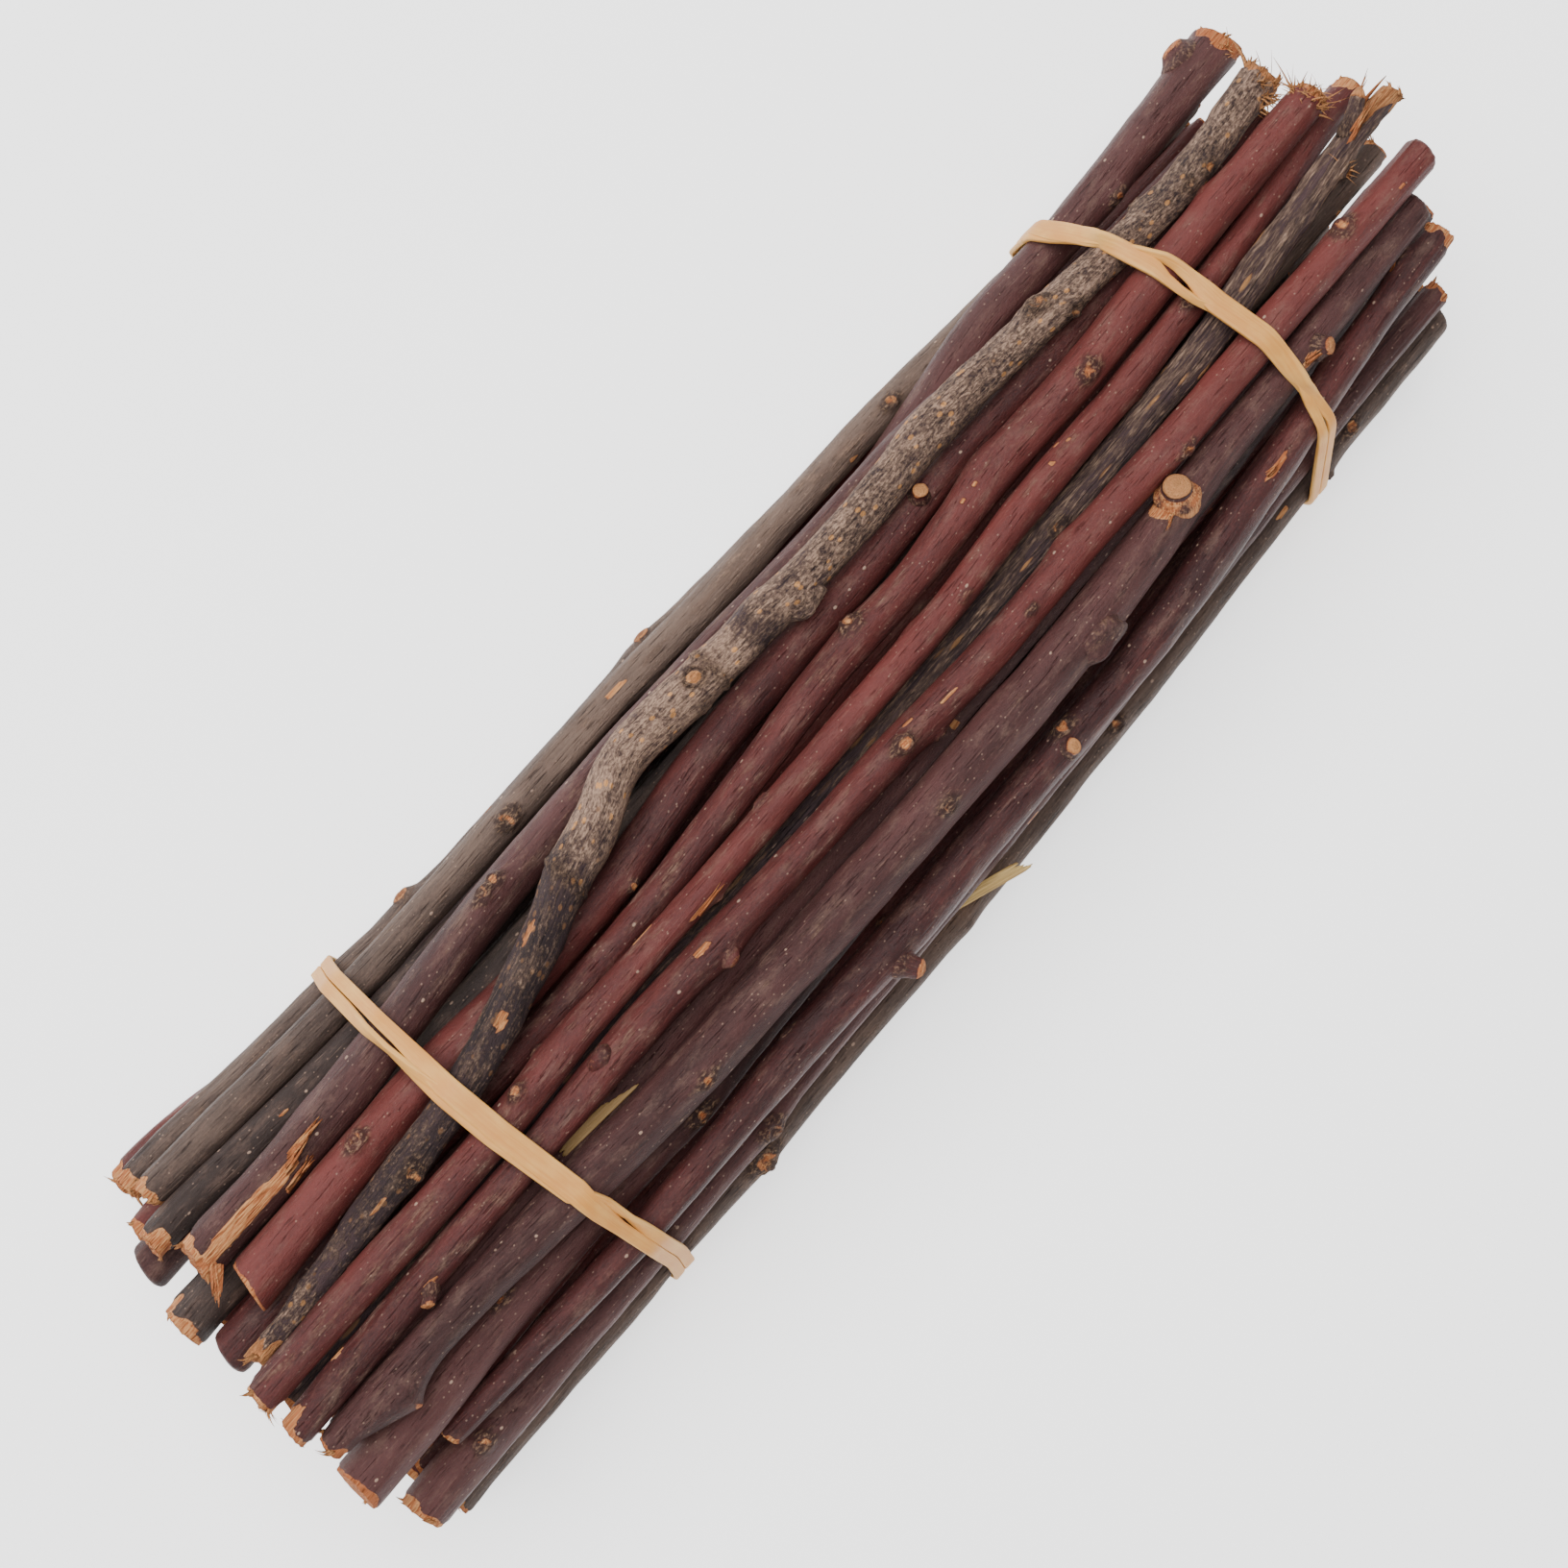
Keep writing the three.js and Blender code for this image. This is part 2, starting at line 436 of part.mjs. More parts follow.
function hullRound(twigs, x, sway) {
  const sections = twigs.flatMap((t) => {
    const { y, z } = sectionAt(t, x);
    const middle = x + swayAt(sway, y, z);
    return [-BAND_WIDTH / 2, 0, BAND_WIDTH / 2].map((side) => sectionAt(t, middle + side));
  });
  const points = sections.flatMap(({ y, z, radius }) =>
    new THREE.EllipseCurve(y, z, radius + CLEARANCE, radius + CLEARANCE).getPoints(ARC_STEPS),
  );
  points.sort((a, b) => a.x - b.x || a.y - b.y);
  const loop = [...halfHull(points).slice(0, -1), ...halfHull(points.reverse()).slice(0, -1)];
  return loop.reduce((kept, p) => (kept.at(-1)?.distanceTo(p) < CROWDED ? kept : [...kept, p]), []);
}

// A band is a ring with a flat, four-cornered section, laid on the hull
function bandMesh(name, twigs, x, sway) {
  const loop = hullRound(twigs, x, sway);
  const ring = new THREE.TorusGeometry(2, 1, 4, loop.length);
  const geometry = reshape(ring, (vertex) => {
    const around = Math.atan2(vertex.y, vertex.x) / (2 * Math.PI);
    const i = Math.round(around * loop.length + loop.length) % loop.length;
    const chord = loop[(i + 1) % loop.length].clone().sub(loop.at(i - 1)).normalize();
    const [reach, aside] = [Math.hypot(vertex.x, vertex.y) - 2, vertex.z];
    const outer = reach - aside > 0 ? BAND_THICKNESS : 0;
    const side = reach + aside > 0 ? BAND_WIDTH / 2 : -BAND_WIDTH / 2;
    const shift = swayAt(sway, loop[i].x, loop[i].y);
    vertex.set(x + shift + side, loop[i].x + chord.y * outer, Math.max(loop[i].y - chord.x * outer, 0));
  });
  return namedMesh(name, geometry, RUBBER);
}

// A sliver's outline, torn to a slanting point at its far end: shares of its length and of its width
const STRAW_OUTLINE = [[0, -0.4], [0.3, -0.5], [0.85, -0.4], [1, -0.1], [0.9, 0.2], [0.5, 0.5], [0, 0.4]];

function strawMesh({ name, from, to, facing, width }) {
  const [start, end] = [from, to].map((place) => new THREE.Vector3(...place));
  const length = start.distanceTo(end);
  const points = STRAW_OUTLINE.map(([along, across]) => new THREE.Vector2(along * length, across * width));
  const flat = { depth: STRAW_THICKNESS, bevelEnabled: false };
  const blade = new THREE.ExtrudeGeometry(new THREE.Shape(points), flat);
  const mesh = namedMesh(name, blade.translate(0, 0, -STRAW_THICKNESS / 2), STRAW);
  const along = end.sub(start).normalize();
  const across = new THREE.Vector3(...facing).cross(along).normalize();
  const turn = new THREE.Matrix4().makeBasis(along, across, along.clone().cross(across));
  mesh.quaternion.setFromRotationMatrix(turn);
  mesh.position.copy(start);
  return mesh;
}

const twigs = [...namedTwigs(SHOWN, 8, 1), ...namedTwigs(TUCKED, 6, 0.5), ...ROWS.flatMap(rowTwigs)];
settle(twigs);

const bundle = new THREE.Group();
bundle.add(
  ...twigs.map(twigMesh),
  bandMesh("rubber_band_near", twigs, BAND_NEAR_X, NEAR_SWAY),
  bandMesh("rubber_band_far", twigs, BAND_FAR_X, FAR_SWAY),
  ...STRAWS.map(strawMesh),
);

// The origin goes on the table under the middle of the bundle
const box = new THREE.Box3().setFromObject(bundle, true);
const middle = box.getCenter(new THREE.Vector3());
bundle.position.set(-middle.x, -middle.y, -box.min.z);

export default bundle;
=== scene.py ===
import json
import math

import bpy
import numpy as np
from bpy.props import FloatProperty, FloatVectorProperty, IntProperty, PointerProperty
from bpy.types import Operator, Panel, PropertyGroup
from mathutils import Matrix


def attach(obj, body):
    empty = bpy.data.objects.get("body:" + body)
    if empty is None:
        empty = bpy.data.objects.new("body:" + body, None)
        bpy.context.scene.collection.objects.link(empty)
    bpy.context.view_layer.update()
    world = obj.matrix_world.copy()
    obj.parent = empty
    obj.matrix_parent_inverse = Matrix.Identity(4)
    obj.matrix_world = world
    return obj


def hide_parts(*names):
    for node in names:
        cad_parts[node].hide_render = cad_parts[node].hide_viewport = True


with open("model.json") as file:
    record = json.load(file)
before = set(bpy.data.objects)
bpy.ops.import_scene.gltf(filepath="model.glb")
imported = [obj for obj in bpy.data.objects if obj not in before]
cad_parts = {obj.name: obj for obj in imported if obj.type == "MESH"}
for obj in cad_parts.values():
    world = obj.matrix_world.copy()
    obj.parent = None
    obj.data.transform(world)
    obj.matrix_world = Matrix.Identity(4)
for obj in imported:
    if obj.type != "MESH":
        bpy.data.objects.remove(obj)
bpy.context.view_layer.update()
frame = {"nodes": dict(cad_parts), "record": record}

bl_info = {
    "name": "Bundle of Twigs",
    "version": (1, 0, 0),
    "blender": (4, 5, 0),
    "location": "3D View > Sidebar > Twigs",
    "description": "Builds the bark, knots, cut ends, rubber bands and straw of a bundle of twigs",
    "category": "Add Mesh",
}

MM = 0.001

# The camera, in millimetres, and the level on which the marks below are noted as it sees them
EYE = np.array([-35.4, -0.33, 254.2])
LOOK = np.array([-6.2, -0.33, 16.0])
PICTURE_TURN = 49.1
PICTURE_ACROSS = 147.5
MARK_LEVEL = 26.0
MARK_SHIFT = 4.0

# Marks on the bark: kind, x and y as the camera sees them, half length and half width
MARKS = {
    "crown_grey": [
        ("eye", -1.5, 12.4, 1.0, 0.85), ("ring", -22.6, 9.3, 1.0, 1.0), ("ring", 0.2, 12.0, 0.8, 1.0),
        ("tear", -28.5, 8.5, 1.2, 0.35), ("knot", -51, 2.4, 0.9, 0.8), ("knot", 45.7, 11.3, 1.0, 0.9),
        ("knot", 47.8, 8.6, 0.9, 0.8), ("knot", 64, 8.1, 0.6, 0.6), ("knot", 66.5, 7.9, 0.7, 0.6),
        ("tear", -36, 5.2, 0.9, 0.6), ("tear", -55, 2.6, 1.2, 0.2)],
    "side_smooth": [
        ("knot", -22, 16.6, 0.9, 0.8), ("knot", 29.6, 15.6, 0.8, 0.6), ("tear", 23.5, 14.7, 0.5, 0.25),
        ("knot", 42, 14.2, 0.5, 0.4), ("tear", -7, 17.0, 1.4, 0.25)],
    "side_dark": [("tear", -54.4, 14.2, 0.6, 0.12)],
    "side_bumpy": [("bulge", -33.5, 18.3, 1.6, 1.2), ("bulge", -0.5, 17.6, 1.4, 1.2)],
    "shoulder_torn": [
        ("knot", -28.6, 13.7, 0.8, 0.6), ("knot", -27, 13.8, 0.7, 0.6), ("tear", -63.4, 10.75, 7.4, 0.85)],
    "shoulder_bright": [("knot", -52, 7.8, 0.9, 0.7), ("knot", -19.2, 4.3, 0.5, 0.5)],
    "shoulder_knobbed": [("knot", 58.8, 12.4, 0.7, 0.6), ("tear", 73.8, 17.2, 0.8, 0.3)],
    "crown_red": [
        ("knot", 11.7, 4.9, 0.9, 0.8), ("knot", 44, 3.8, 1.0, 0.8), ("bulge", 31, 6.4, 1.6, 1.0),
        ("fleck", 27, 4.6, 0.3, 0.12), ("fleck", 28.2, 4.3, 0.5, 0.12), ("fleck", 29, 4.8, 0.3, 0.1)],
    "crown_slim": [
        ("knot", -39.7, 0, 0.7, 0.6), ("knot", 55.6, 0.9, 0.8, 0.7), ("bud", -5.8, 0.9, 0.9, 0.45),
        ("bud", 20.6, -1.3, 0.7, 0.4), ("fleck", 35.2, 0.7, 0.35, 0.2), ("fleck", 37, 1.5, 0.4, 0.1),
        ("fleck", 38, 1.0, 0.25, 0.15), ("tear", -16.5, -1.75, 2.0, 0.22), ("fleck", -22, 0.9, 1.6, 0.08)],
    "crown_long": [
        ("tear", -57.3, -5.3, 0.9, 0.3), ("fleck", -67, -2.8, 0.8, 0.2), ("fleck", -19.5, -4.2, 1.0, 0.38),
        ("knot", 6.4, -5.8, 0.9, 0.7), ("tear", 8.2, -4.9, 0.8, 0.15), ("knot", 23.5, -6.6, 0.5, 0.4),
        ("tear", 12.5, -6.1, 1.0, 0.1), ("knot", 44.6, -7.7, 0.9, 0.5), ("knot", 70.8, -5.5, 0.9, 0.8),
        ("fleck", 77.5, -7.1, 0.4, 0.12), ("bulge", -18.5, -6.6, 1.4, 1.0)],
    "crown_plum": [
        ("knot", -28, -12, 0.9, 0.7), ("knot", 4.8, -12.4, 0.8, 0.7), ("tear", 39.3, -9.5, 1.7, 1.5),
        ("tear", 59.5, -11.2, 1.7, 0.6), ("heel", -65.6, -11.4, 2.4, 1.7)],
    "crown_forked": [
        ("knot", 75.5, -2.3, 0.9, 0.6), ("knot", 31, -3.5, 0.9, 0.5), ("tear", 81, 0.2, 3.0, 0.9),
        ("bulge", 62, -1.2, 1.5, 1.0)],
    "flank_plum": [("knot", -54.2, -10.9, 0.8, 0.6), ("knot", -30.6, -13.6, 1.0, 0.7)],
    "flank_red": [
        ("bud", -20, -14.5, 1.0, 0.35), ("knot", 17.2, -15.9, 0.8, 0.8), ("tear", 49, -15.2, 1.9, 0.32),
        ("knot", 72.5, -10.5, 0.8, 0.5), ("tear", 71.5, -11.6, 0.8, 0.22), ("fleck", 49.5, -16.2, 0.9, 0.08)],
    "flank_slim": [
        ("knot", -64.3, -17.8, 0.8, 0.7), ("knot", -44, -16.5, 0.7, 0.5), ("knot", -27.5, -19.2, 1.1, 0.9),
        ("tear", 9.2, -19.6, 0.9, 0.3)],
    "flank_grey": [
        ("knot", -30, -20.4, 1.3, 1.0), ("bulge", -2, -20.9, 1.0, 0.8), ("knot", 20.6, -19.4, 0.8, 0.6),
        ("knot", 56.4, -18.1, 0.8, 0.6), ("fleck", 46, -18.4, 1.4, 0.15)],
    "tucked_ochre": [("tear", -72.6, 10.6, 1.1, 0.8)],
}

# Side shoots cut short: x, turn about the twig (0 is +Y, 90 is up), reach, width, lean along X, and how bare:
# 0 is healed over, 1 has a bare end, and past 1 the sides are peeled too
STUBS = {
    "crown_plum": [
        (36.4, 66, 1.1, 3.7, 0.1, 1.3), (21.5, 150, 0.9, 3.0, -0.3, 0.0), (56.0, 135, 1.0, 2.2, 0.5, 0.9)],
    "shoulder_bright": [(20.8, 80, 0.8, 2.0, 0.2, 1.0)],
    "shoulder_knobbed": [(71.4, 14, 0.9, 3.2, 0.0, 0.6)],
    "crown_forked": [(73.0, 35, 3.0, 2.0, 1.4, 0.9)],
    "crown_grey": [(6.3, 165, 0.8, 2.6, -0.3, 0.1)],
    "crown_long": [
        (-36.0, 60, 0.8, 1.8, -0.8, 0.35), (-61.0, 150, 0.9, 1.8, -0.8, 0.7),
        (-22.5, 150, 0.7, 1.8, 0.0, 0.4)],
    "flank_red": [(-13.0, 165, 1.6, 2.4, 0.4, 0.8), (12.4, 105, 0.6, 2.0, 0.3, 1.0)],
    "side_bumpy": [(-3.8, 30, 0.6, 2.4, 0.0, 0.5), (-37.5, 30, 0.6, 2.4, 0.0, 0.5)],
}

# Ends: how far the bark is chipped back and how many fibres stand out, at the start and at the end of a twig
ENDS = {
    "crown_grey": (2.2, 8, 1.2, 26), "crown_slim": (1.8, 14, 1.2, 3), "crown_long": (2.2, 5, 0, 0),
    "crown_red": (0, 0, 1.4, 26), "crown_plum": (1.2, 9, 0, 0), "crown_forked": (0.6, 0, 3.2, 10),
    "shoulder_bright": (0.4, 0, 0.3, 0), "shoulder_torn": (2.2, 12, 0.4, 0),
    "shoulder_knobbed": (0, 0, 1.6, 4), "side_smooth": (1.4, 18, 0.5, 2), "side_dark": (2.0, 8, 0.4, 2),
    "side_bumpy": (1.6, 18, 0.4, 2), "side_low": (1.3, 4, 0.4, 0), "flank_plum": (0.7, 2, 0.8, 4),
    "flank_red": (0.5, 0, 1.3, 10), "flank_slim": (1.2, 5, 0.8, 2), "flank_grey": (1.2, 4, 0, 0),
    "tucked_ochre": (2.4, 5, 0.5, 0), "tucked_red": (1.2, 5, 0.5, 2), "tucked_grey": (0.4, 0, 0.8, 3),
}
PLAIN_END = (0.6, 4, 0.6, 4)

# Splinters raised from the bark: x and y of both ends as the camera sees them, number, and the sheaf's width
SPLINTERS = {
    "shoulder_torn": [
        (-58.4, 11.0, -53.0, 11.5, 8, 0.9), (-59.6, 9.6, -55.0, 9.9, 8, 1.0),
        (-67.6, 10.2, -70.3, 7.6, 9, 1.0)],
    "crown_forked": [
        (78.4, 1.9, 84.4, 2.6, 3, 0.5), (76.5, -0.7, 82.6, 0.5, 7, 0.5), (78.5, 0.6, 83.8, 0.9, 6, 0.8)],
    "crown_plum": [(39.4, -10.6, 37.4, -11.4, 3, 0.3), (58.4, -11.0, 61.2, -11.6, 5, 0.6)],
    "flank_red": [(47.4, -14.9, 50.4, -15.5, 4, 0.4)],
    "crown_slim": [(-17.8, -1.9, -13.6, -1.6, 4, 0.3)],
}

# Frizz on torn bark: x and y of its middle as the camera sees them, how far it spreads, how many fibres
FRIZZ = {
    "crown_grey": [(76.4, 9.2, 0.5, 16), (76.0, 7.6, 0.8, 30), (75.2, 6.6, 0.8, 18)],
    "crown_red": [(78.2, 6.6, 0.6, 24), (78.8, 4.8, 0.7, 26), (78.4, 3.6, 0.7, 22)],
    "crown_forked": [(75.3, -2.1, 0.5, 18)], "shoulder_knobbed": [(76.2, 13.4, 0.5, 10)],
}

# Small bends of a twig between those of its solid: x, how far it goes to +Y, and over what length
KINKS = {"crown_grey": [(-15.5, 0.9, 4.5), (-27.5, 0.25, 3.0), (2.5, 0.2, 2.5), (58.0, -0.3, 5.0)]}

# Bark along a twig: x, how bright it is within its slot's colours, and how much a grey film covers it
TINTS = {
    "crown_grey": [
        (-76, 0.1, 0.75), (-66, -0.4, 0.42), (-44, -0.4, 0.42), (-28, -0.3, 0.42), (-23.5, 0.2, 0.8),
        (-1, 0.3, 0.85), (1, -0.2, 0.5), (4, 0.1, 0.72), (48, 0.1, 0.75), (60, -0.1, 0.65), (76, 0, 0.8)],
    "crown_forked": [(-70, -0.4, 0.35), (40, 0.1, 0.55), (76, 0.1, 0.58)],
    "crown_slim": [(-75, -0.1, 0.34), (-30, 0.1, 0.28), (0, 0.3, 0.26), (76, 0.1, 0.2)],
    "crown_long": [(-75, -0.4, 0.3), (-25, -0.1, 0.25), (25, 0.3, 0.15), (55, 0.6, 0.08), (78, 0.3, 0.1)],
    "crown_red": [(-70, -0.4, 0.2), (0, -0.1, 0.28), (30, 0.05, 0.22), (55, 0.35, 0.08), (75, 0.3, 0.08)],
    "crown_plum": [(-75, -0.3, 0.12), (-30, -0.2, 0.12), (0, 0, 0.1), (40, 0, 0.1), (75, -0.2, 0.1)],
    "shoulder_bright": [(-70, 0.4, 0), (-52, 0.3, 0), (-30, -0.2, 0.1), (70, -0.3, 0.1)],
    "shoulder_torn": [(-70, -0.2, 0.1), (-30, -0.1, 0.25), (20, 0.1, 0.2)],
    "shoulder_knobbed": [(-70, -0.4, 0.1), (40, 0.1, 0.1), (75, 0.3, 0)],
    "side_smooth": [(-70, -0.5, 0.15), (-30, -0.15, 0.25), (0, 0.3, 0.42), (40, 0.2, 0.4)],
    # side_dark's low tint is painted shade: it darkens the whole twig, which lies in the dark gap between its
    # neighbours
    "side_dark": [(-70, -1.5, 0.05), (0, -1.4, 0.05)],
    "side_bumpy": [(-70, -0.5, 0.2), (0, 0, 0.38)],
    "side_low": [(0, -0.2, 0.1)],
    "flank_plum": [(-75, 0.3, 0), (-45, 0.1, 0), (-20, -0.8, 0), (0, -1.5, 0), (60, -1.5, 0)],
    "flank_red": [(-65, -0.6, 0.1), (-20, -0.4, 0), (20, -0.6, 0.2), (45, -0.4, 0), (75, -0.4, 0)],
    "flank_slim": [(-75, 0.3, 0), (-30, 0.2, 0.2), (30, 0, 0.1)],
    "flank_grey": [(0, -0.2, 0.2)],
    "tucked_ochre": [(0, -0.7, 0.1)],
}

# Twigs whose bark is drawn out into streaks, and the share of its plain length that its pattern keeps
DRAWN = {"crown_forked": 0.25}

# Groups of twigs that show little or nothing, and how much coarser their faces are
COARSE = {"tucked": 1.7, "low": 1.7, "under": 1.7, "core": 2.6, "heart": 2.6}

# How rugged the bark is, in millimetres
RUGGED = {"red_bark": 0.03, "plum_bark": 0.03, "grey_bark": 0.11, "olive_bark": 0.03}

# Finishes: bright colour, colour of the pores, roughness, crust, pores, relief, and the weight of fine lines.
# A crust is how often it breaks along and around the twig, and how thick it is. Pores are their size, their
# number to a millimetre, how common they are, and the film that brings them out.
STREAKED, GRAINED = ((0.22, 0.75, 0.75), 0.5), ((1.9, 3.1, 3.1), 0.85)
FINE_PORES, LARGE_PORES = (0.1, 0.55, 0.1, -1), (0.26, 0.95, 0.34, 0.42)
BARKS = {
    "red_bark": ("red", "dot", 0.44, STREAKED, FINE_PORES, 0.8, 0.32),
    "plum_bark": ("plum", "dot", 0.5, STREAKED, FINE_PORES, 0.9, 0.42),
    "grey_bark": ("purple", "pore", 0.68, GRAINED, LARGE_PORES, 1.6, 0.5),
    "olive_bark": ("olive", "dot", 0.56, STREAKED, FINE_PORES, 1.0, 0.65),
}

# Millimetres of a twig to each mark left to chance
MARK_PITCH = 26.0

# The shares of the radius at which rings close a twig's end and a stub's face, and counts of rows and sides
END_RINGS = np.array([0.97, 0.85, 0.66, 0.46, 0.26])[:, None]
STUB_RINGS = np.array([0.94, 0.78, 0.55, 0.32, 0.12])
STUB_ROWS, STUB_SIDES = 14, 22
FIBRE_ROWS, FIBRE_SIDES = 6, 3
BAND_ROWS, BAND_SIDES = 420, 20
STRAW_FIBRES, STRAW_ROWS, STRAW_SIDES = 9, 40, 8

# A band's turns away from the top: their shift along X and their width
PLAIN_SHIFT, PLAIN_WIDTH = 0.65, 1.25

# The lamp's place in millimetres and size in metres, the camera's sensor in millimetres, and plain white
LAMP_PLACE = np.array([-60.0, 260.0, 700.0])
LAMP_SIZE = 0.8
SENSOR = 36.0
WHITE = (1, 1, 1, 1)

# How each band's two turns lie over the top, by y: for each turn its shift along X, width, twist and lift
TURNS = {
    "rubber_band_near": [
        (24, 0.65, 1.25, 0, 0, -0.65, 1.25, 0, 0), (17, 0.68, 1.3, 0, 0, -0.7, 1.2, 10, 0),
        (14, 0.68, 1.35, 0, 0, -0.8, 1.1, 45, 0.1), (11, 0.62, 1.45, -8, 0.05, -0.72, 1.1, 72, 0.15),
        (8.5, 0.5, 1.7, -8, 0.1, -0.72, 1.2, 50, 0.1), (5, 0.22, 2.15, 0, 0.12, -0.6, 1.6, 12, -0.05),
        (0, 0.25, 2.15, 0, 0.1, -0.55, 1.7, 0, -0.1), (-10, 0.1, 2.3, 0, 0.1, -0.3, 1.9, 0, -0.12),
        (-13, -0.3, 1.9, 0, 0.1, 0.6, 1.3, 25, -0.05), (-15.5, -0.5, 1.4, -12, 0.05, 0.75, 1.1, 68, 0.1),
        (-18, -0.55, 1.35, 0, 0, 0.66, 1.2, 15, 0), (-24, -0.65, 1.25, 0, 0, 0.65, 1.25, 0, 0)],
    "rubber_band_far": [
        (20, 0.65, 1.25, 0, 0, -0.65, 1.25, 0, 0), (15, 0.2, 2.3, 0, 0.08, -0.2, 1.7, 0, -0.1),
        (12.8, 0.1, 1.8, 20, 0.1, -0.1, 1.2, 0, -0.12), (11, 0, 1.8, 70, 0.2, 0, 0.9, 10, -0.15),
        (9, -0.1, 1.8, 25, 0.12, 0.1, 1.0, 30, -0.08), (7, -0.25, 1.9, 0, 0.08, 0.5, 1.0, 60, 0.1),
        (5, -0.5, 1.6, 0, 0.06, 0.85, 1.1, 55, 0.15), (3.5, -0.8, 1.1, 0, 0.04, 0.85, 1.15, 40, 0.12),
        (1.8, -0.9, 0.9, 25, 0.02, 0.65, 1.4, 20, 0.1), (0, -0.85, 0.8, 50, -0.05, 0.3, 2.0, 8, 0.1),
        (-1.5, -0.5, 1.0, 40, -0.12, 0.05, 2.3, 0, 0.1), (-6, 0, 1.6, 0, -0.18, 0, 2.35, 0, 0.1),
        (-9.5, 0, 1.4, 0, -0.15, 0, 2.1, 12, 0.1), (-12.8, 0, 0.9, 10, -0.12, 0, 1.8, 66, 0.2),
        (-14.5, -0.35, 1.0, 20, -0.02, 0.3, 1.2, 20, 0.1), (-17, -0.6, 0.9, 25, 0, 0.6, 0.95, 0, 0.05),
        (-22, -0.65, 1.25, 0, 0, 0.65, 1.25, 0, 0)],
}


def linear(hue):
    """A colour written as rrggbb in the light values that shaders take."""
    shares = np.array([int(hue[k : k + 2], 16) for k in (0, 2, 4)]) / 255
    light = np.where(shares > 0.04045, ((shares + 0.055) / 1.055) ** 2.4, shares / 12.92)
    return tuple(light.tolist())


def colour(name, hue, about):
    """A colour that a user can change."""
    return FloatVectorProperty(
        name=name, description=about, subtype="COLOR", size=3, min=0, max=1, default=linear(hue))


def amount(name, value, about, least=0.0, **unit):
    """A number that a user can change."""
    return FloatProperty(name=name, description=about, default=value, min=least, **unit)


def length(name, value, about):
    """A length that a user can change, given in millimetres and kept in metres."""
    return amount(name, value * MM, about, unit="LENGTH", precision=5)


class TwigSettings(PropertyGroup):
    """Sizes of the twigs' surface."""

    row_step: length("Row Step", 0.5, "Distance between rows of faces along a twig that shows")
    sides: IntProperty(name="Sides", description="Faces round a twig that shows", default=44, min=12, max=96)
    ripple: amount("Ripple", 0.055, "How far a twig is from round, as a share of its radius")
    ridge: length("Ridge", 0.035, "Height of the fine ridges of dried bark")
    bark_depth: length("Bark Depth", 0.18, "How thick the bark is where it is chipped off")
    fibre: length("Fibre", 1.6, "Length of the fibres at a torn end")


class BarkSettings(PropertyGroup):
    """Colours of the bark and the bare wood."""

    red: colour("Red", "6b332f", "Bright red bark")
    red_deep: colour("Deep Red", "311b1b", "Shaded red bark")
    plum: colour("Plum", "593634", "Bright plum bark")
    plum_deep: colour("Deep Plum", "2d1a19", "Shaded plum bark")
    purple: colour("Purple", "543f41", "The purple bark under a grey crust")
    purple_deep: colour("Deep Purple", "211a1b", "Shaded purple bark")
    olive: colour("Olive", "796458", "Bright olive bark")
    olive_deep: colour("Deep Olive", "342926", "Shaded olive bark")
    film: colour("Film", "7a6155", "The dry film on old bark")
    grey: colour("Grey", "b0917a", "The palest flakes of a grey crust")
    dot: colour("Dot", "a88c7a", "The small pale pores in smooth bark")
    pore: colour("Pore", "d0945c", "The larger pores in a grey crust")
    scar: colour("Scar", "31221e", "The wrinkles of a knot's collar")
    crust: colour("Crust", "8f725a", "The ridges of a knot's collar")
    wood: colour("Wood", "aa633c", "Bare wood")
    wood_pale: colour("Pale Wood", "cc9260", "Fresh fibres of bare wood")
    wood_deep: colour("Deep Wood", "6a3418", "Bare wood between its fibres")


class BandSettings(PropertyGroup):
    """Sizes and colours of the rubber bands and the straw."""

    thickness: length("Thickness", 0.55, "Thickness of one turn of a band")
    rubber: colour("Rubber", "d08a3b", "Tan rubber")
    # Pale Rubber is the rubber's paler clouds and lines, and the painted highlight at its edges and where it
    # is turned on edge
    rubber_pale: colour("Pale Rubber", "e0a757", "Stretched rubber at the edges")
    straw: colour("Straw", "e3c07c", "Dry straw")
    # Deep Straw serves the darker lines along the straw, and the painted shade between its fibres and over
    # the inner sliver
    straw_deep: colour("Deep Straw", "977646", "Straw between its fibres")


class StageSettings(PropertyGroup):
    """The floor and the lights."""

    floor: colour("Floor", "f4f4f4", "The pale floor")
    floor_size: amount("Floor Size", 4, "Width of the floor", 0.5, unit="LENGTH")
    floor_glow: amount("Floor Glow", 1.2, "Light that the floor gives off")
    sky: amount("Sky", 0.45, "Strength of the light from all round")
    key: amount("Key", 11.5, "Power of the large soft lamp", unit="POWER")


# Noise and curves


def lattice(cells, seed):
    """A repeatable value from -1 to 1 for each whole-numbered point, from products with large primes."""
    mixed = cells @ np.array([73856093, 19349663, 83492791]) + seed * 40503
    mixed = (mixed ^ (mixed >> 13)) * 1274126177
    return ((mixed ^ (mixed >> 16)) & 0xFFFF) / 32767.5 - 1


def noise(x, y, z, seed=0):
    """Smooth noise from -1 to 1: values at the corners of unit cells, blended across each by 3t^2 - 2t^3."""
    points = np.stack(np.broadcast_arrays(x, y, z), -1)
    whole = np.floor(points).astype(np.int64)
    part = points - whole
    part = part * part * (3 - 2 * part)
    corners = [np.array(corner) for corner in np.ndindex(2, 2, 2)]
    return sum(np.where(c, part, 1 - part).prod(-1) * lattice(whole + c, seed) for c in corners)


def rough(x, y, z, seed=0):
    """Noise with two finer layers, each at twice the pitch and half the height."""
    return sum(noise(x * f, y * f, z * f, seed + f) / f for f in (1, 2, 4)) / 1.75


def soft(start, end, value):
    """A smooth step from 0 where value is start to 1 where it is end."""
    t = np.clip((value - start) / (end - start), 0, 1)
    return t * t * (3 - 2 * t)


